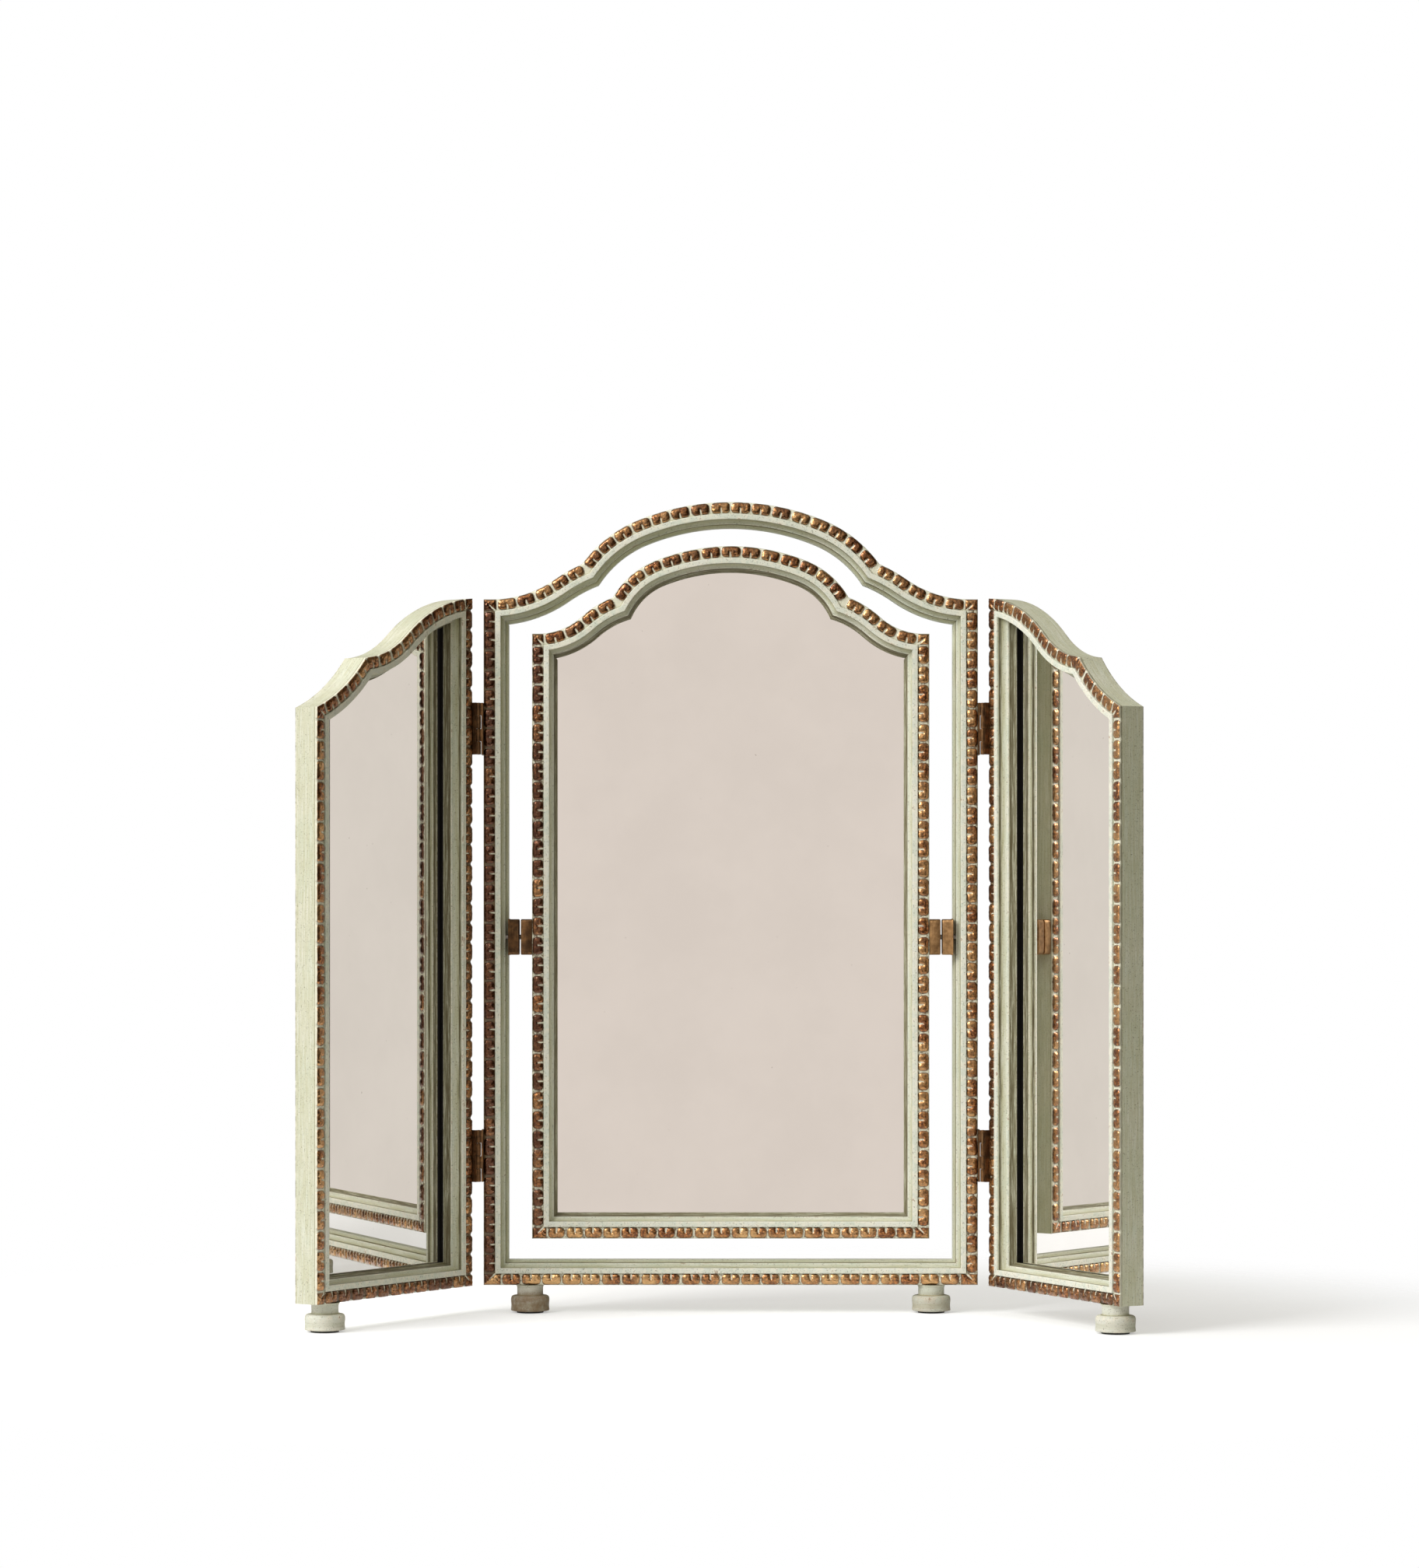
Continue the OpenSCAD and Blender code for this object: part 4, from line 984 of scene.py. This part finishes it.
def slab(node, side, steps, bore, material, body):
    """Torus-shaped skin. A step is (x, inset), and a ring is the rounded rectangle less its inset.

    The rectangle is (cos t, sin t), each brought nearer to 1 by the power SQUARENESS, times half sizes.
    """
    t = np.linspace(0, 2 * math.pi, 64, endpoint=False)
    up, back = (np.sign(wave) * np.abs(wave) ** SQUARENESS for wave in (np.sin(t), np.cos(t)))
    rings = [(x, (BLOCK_D / 2 - i) * back, (BLOCK_H / 2 - i) * up) for x, i in steps]
    round_back, round_up = bore * back / np.hypot(back, up), bore * up / np.hypot(back, up)
    rings += [(steps[-1][0], round_back, round_up), (steps[0][0], round_back, round_up)]
    sign = SIGN[side]
    edge_x = ORIGIN_X + sign * (CENTRE_W / 2 - RAIL_W)
    x = np.stack([np.full(len(t), edge_x - sign * x) for x, _, _ in rings])
    y = np.stack([joints["mirror_tilt"][1] / MM + b for _, b, _ in rings])
    z = np.stack([joints["mirror_tilt"][2] / MM + u for _, _, u in rings])
    return skin(node, "_slab", np.stack([x, y, z], -1) * MM, True, 35, material, body, "bronze")


FRAME_STEPS = [(0.0, -0.5), (0.7, -0.45), (1.8, 0.0)]
FRAME_STEPS += [(FRAME_BLOCK_T - 0.8, 0.0), (FRAME_BLOCK_T - 0.25, 0.2), (FRAME_BLOCK_T, 0.8)]
near = SIDE_GAP - MIRROR_BLOCK_T
MIRROR_STEPS = [(near, 0.8), (near + 0.25, 0.2), (near + 0.8, 0.0), (SIDE_GAP - 0.5, 0.0), (SIDE_GAP, 0.3)]
for side in SIGN:
    # Painted shade on the left blocks and painted light on the right ones: the same bronze in a darker and a
    # paler copy.
    finish = dark_and_shaded_bronze if side == "left" else pale_and_lit_bronze
    print(slab(side + "_pivot_frame_block", side, FRAME_STEPS, PIN_R, finish, "centre_frame"),
          slab(side + "_pivot_mirror_block", side, MIRROR_STEPS, BUSH_R, finish, "tilting_mirror"))

# %% [markdown]
# ## Finishes for the parts that keep their shape
#
# Hinges, pins, screws, backing boards and pads are already right, so they only get a finish. The
# boards are plain sawn wood, and stretched noise makes the grain. The pads are black rubber.


# %% Backing wood, screws and rubber
def sawn_board(name):
    """Brown board: long upright grain, darker pores and a dry surface."""
    material, tree, shader, where = new_material(name)
    figure = noise(tree, stretched(tree, where, 38, 38, 2.2), 1.0, 5.0, 0.6)
    pores = noise(tree, stretched(tree, where, 900, 900, 40), 1.0, 2.0)
    wood = coats(
        tree, (176, 138, 98),
        (between(tree, figure, 0.3, 0.7), (126, 90, 58)),
        (between(tree, pores, 0.56, 0.7, 0.6), (84, 58, 38)),
    )
    surface(tree, shader, wood, spread(tree, figure, 0.62, 0.82), (pores, 0.0002, 0.5), (figure, 0.0003, 0.3))
    return material


def dull_steel(name):
    """Old steel: grey metal, browner where a fine noise is high."""
    material, tree, shader, where = new_material(name)
    tarnish = noise(tree, where, 700.0, 4.0, 0.6)
    steel = coats(tree, (150, 146, 138), (between(tree, tarnish, 0.4, 0.66), (96, 74, 54)))
    surface(tree, shader, steel, spread(tree, tarnish, 0.3, 0.6), (tarnish, 0.0001, 0.5))
    shader.inputs["Metallic"].default_value = 0.85
    return material


def black_rubber(name):
    """Near-black rubber with a dusty bloom and a fine pebble."""
    material, tree, shader, where = new_material(name)
    dust, pebble = noise(tree, where, 240.0, 4.0, 0.6), noise(tree, where, 1500.0, 2.0)
    black = coats(tree, (26, 25, 24), (between(tree, dust, 0.4, 0.75), (52, 50, 47)))
    surface(tree, shader, black, spread(tree, dust, 0.6, 0.85), (pebble, 0.0001, 0.5))
    return material


board, steel, rubber = sawn_board("backing_board"), dull_steel("screw_steel"), black_rubber("foot_pad")

# %% Give the remaining nodes their finish
ENDINGS = {"backing_board": board, "backing_screws": steel, "hinge_screws": dark_and_shaded_bronze, "pads": rubber,
           "foot_pad": rubber, "hinge_frame_leaf": dark_and_shaded_bronze, "hinge_wing_leaf": dark_and_shaded_bronze,
           "hinge_pin": dark_and_shaded_bronze, "pivot_pin": steel, "pivot_bush": pale_and_lit_bronze}
finished = 0
for node, thing in frame["nodes"].items():
    for ending, material in ENDINGS.items():
        if node.endswith(ending):
            thing.data.materials.clear()
            thing.data.materials.append(material)
            finished += 1
print(finished, "nodes keep their shape and get a finish")

# %% [markdown]
# ## Floor, room and light
#
# The photograph was taken on a pale sweep under soft light from the upper left. A large area lamp
# gives the soft shadow, and a pale room fills it in, cooler from the lamp's side and warmer in the
# shade. The camera should see pure white behind the object, but brighter lamps would wash the paint
# out. The world therefore shows white only to camera rays. Gilding needs something darker to
# reflect, or it looks flat, so glossy rays meet a room that is bright towards the lamp and dim away
# from it. The mirrors look straight back past the camera, where the room is beige.

# %% Floor
FLOOR_R, FADE_FROM, FADE_TO, GLOW = 1.5, 0.5, 0.95, 0.42


def floor_material():
    """White that keeps its shadows, and fades to nothing with the distance from the middle."""
    material, tree, shader, where = new_material("pale_floor")
    away = add(tree, "ShaderNodeVectorMath", {0: where}, operation="LENGTH").outputs["Value"]
    rays = add(tree, "ShaderNodeLightPath").outputs
    seen = maths(tree, "MAXIMUM", rays["Is Camera Ray"], rays["Is Glossy Ray"])
    mottle = noise(tree, where, 60.0, 2.0)
    shader.inputs["Roughness"].default_value = 0.9
    shader.inputs["Specular IOR Level"].default_value = 0.1
    base = coats(tree, (219, 219, 219), (mottle, (223, 223, 223)))
    tree.links.new(base, shader.inputs["Base Color"])
    shader.inputs["Emission Color"].default_value = (1, 1, 1, 1)
    tree.links.new(maths(tree, "MULTIPLY", seen, GLOW), shader.inputs["Emission Strength"])
    clear = add(tree, "ShaderNodeBsdfTransparent").outputs[0]
    fade = between(tree, away, FADE_FROM, FADE_TO)
    at_back = between(tree, add(tree, "ShaderNodeSeparateXYZ", {0: where}).outputs["Y"], 0.0, 0.2)
    fade = maths(tree, "SUBTRACT", fade, maths(tree, "MULTIPLY", rays["Is Glossy Ray"], at_back))
    shown = mix_shaders(tree, fade, shader.outputs[0], clear)
    tree.links.new(shown, tree.nodes["Material Output"].inputs["Surface"])
    return material


def floor_disc(rings=24, around=96):
    """Flat disc: circles of growing radius round a centre point."""
    t = np.linspace(0, 2 * math.pi, around, endpoint=False)
    radius = np.linspace(0.02, FLOOR_R, rings)[:, None]
    points = np.stack([radius * np.cos(t), radius * np.sin(t), 0 * radius * t], -1).reshape(-1, 3)
    mesh = bpy.data.meshes.new("floor")
    faces = [tuple(range(around)), *map(tuple, ring_faces(rings, around, False)[:, ::-1].tolist())]
    mesh.from_pydata(points.tolist(), [], faces)
    mesh.materials.append(floor_material())
    disc = put("floor", mesh)
    return disc


print("floor faces:", len(floor_disc().data.polygons))

# %% Room and lamp
ROOM, SHADED_ROOM, DARK_FRONT = (252, 250, 246), (92, 84, 74), (36, 30, 25)
BEHIND_CAMERA, FAR_FLOOR = (227, 217, 209), (228, 228, 230)
LEAST_FILL, MOST_FILL = 0.02, 0.92
LAMP_PLACE, LAMP_TARGET = Vector((-2.5, -2.1, 2.6)), Vector((0, 0, 0.35))
LAMP_SIZE, LAMP_POWER, LAMP_TINT = 2.0, 124, (0.99, 0.99, 1)
FILL_WAY = Vector((-0.66, -0.35, 0.67))
WARM_SHADE, COOL_LIGHT = (1, 0.9, 0.56, 1), (0.98, 0.99, 1, 1)


def facing(tree, direction, way):
    """How far a direction points along a way: the dot product."""
    return add(tree, "ShaderNodeVectorMath", {0: direction, 1: way}, operation="DOT_PRODUCT").outputs["Value"]


world = bpy.data.worlds.new("room")
bpy.context.scene.world = world
world.use_nodes = True
tree = world.node_tree
tree.nodes.clear()
rays = add(tree, "ShaderNodeLightPath").outputs
direction = add(tree, "ShaderNodeTexCoord").outputs["Generated"]
axes = add(tree, "ShaderNodeSeparateXYZ", {0: direction}).outputs
lit = between(tree, facing(tree, direction, (LAMP_PLACE - LAMP_TARGET).normalized()), 0.05, 0.85)
front = between(tree, axes["Y"], -0.1, -0.5)
dim = maths(tree, "MULTIPLY", front, maths(tree, "SUBTRACT", 1.0, lit))
to_floor = maths(tree, "MULTIPLY", between(tree, axes["Z"], 0.0, -0.02), between(tree, axes["Y"], 0.0, 0.15))
behind = between(tree, axes["Y"], -0.975, -0.99)
reflected = coats(
    tree, SHADED_ROOM, (lit, ROOM), (dim, DARK_FRONT), (to_floor, FAR_FLOOR), (behind, BEHIND_CAMERA)
)
to_fill = facing(tree, direction, FILL_WAY)
level = spread(tree, to_fill, LEAST_FILL, MOST_FILL, -0.3, 0.9)
warmth = mix(tree, between(tree, to_fill, 0.0, 0.8), WARM_SHADE, COOL_LIGHT)
fill = add(tree, "ShaderNodeBackground", {"Color": warmth, "Strength": level}).outputs[0]
mirrored = add(tree, "ShaderNodeBackground", {"Color": reflected, "Strength": 1.0}).outputs[0]
white = add(tree, "ShaderNodeBackground", {"Color": (1, 1, 1, 1), "Strength": 1.0}).outputs[0]
glossy = maths(tree, "MAXIMUM", rays["Is Glossy Ray"], rays["Is Transmission Ray"])
shown = mix_shaders(tree, rays["Is Camera Ray"], mix_shaders(tree, glossy, fill, mirrored), white)
add(tree, "ShaderNodeOutputWorld", {"Surface": shown})

light = bpy.data.lights.new("window", "AREA")
light.size, light.energy, light.color = LAMP_SIZE, LAMP_POWER, LAMP_TINT
lamp = put("window", light)
lamp.location = LAMP_PLACE
lamp.rotation_euler = (LAMP_TARGET - LAMP_PLACE).to_track_quat("-Z", "Y").to_euler()
print("the room and its lamp are up:", lamp.name)

# %% [markdown]
# ## Camera
#
# The photograph's sides stay upright, so the camera was level and its picture was shifted rather
# than tilted. A long lens from almost four metres fits the feet and the corners of the wings.

# %% Camera
PHOTO_W, PHOTO_H = 1824, 2016
FOCAL_PX, CENTRE_PX = 5000.0, (930.2, 1205.0)
SENSOR, CLIP_END = 36.0, 30
CAMERA_LEFT, CAMERA_AWAY, CAMERA_UP = 6.8, 3750, 363

camera_data = bpy.data.cameras.new("camera")
camera_data.sensor_width = SENSOR
camera_data.lens = FOCAL_PX / PHOTO_H * SENSOR
camera_data.shift_x = -(CENTRE_PX[0] - PHOTO_W / 2) / PHOTO_H
camera_data.shift_y = (CENTRE_PX[1] - PHOTO_H / 2) / PHOTO_H
camera_data.clip_end = CLIP_END
camera = put("camera", camera_data)
camera.location = ((ORIGIN_X - CAMERA_LEFT) * MM, (FRONT_Y - CAMERA_AWAY) * MM, CAMERA_UP * MM)
camera.rotation_euler = (math.pi / 2, 0, 0)
bpy.context.scene.camera = camera
bpy.context.scene.view_settings.view_transform = "Standard"
print("lens and shift:", np.round([camera_data.lens, camera_data.shift_x, camera_data.shift_y], 4))
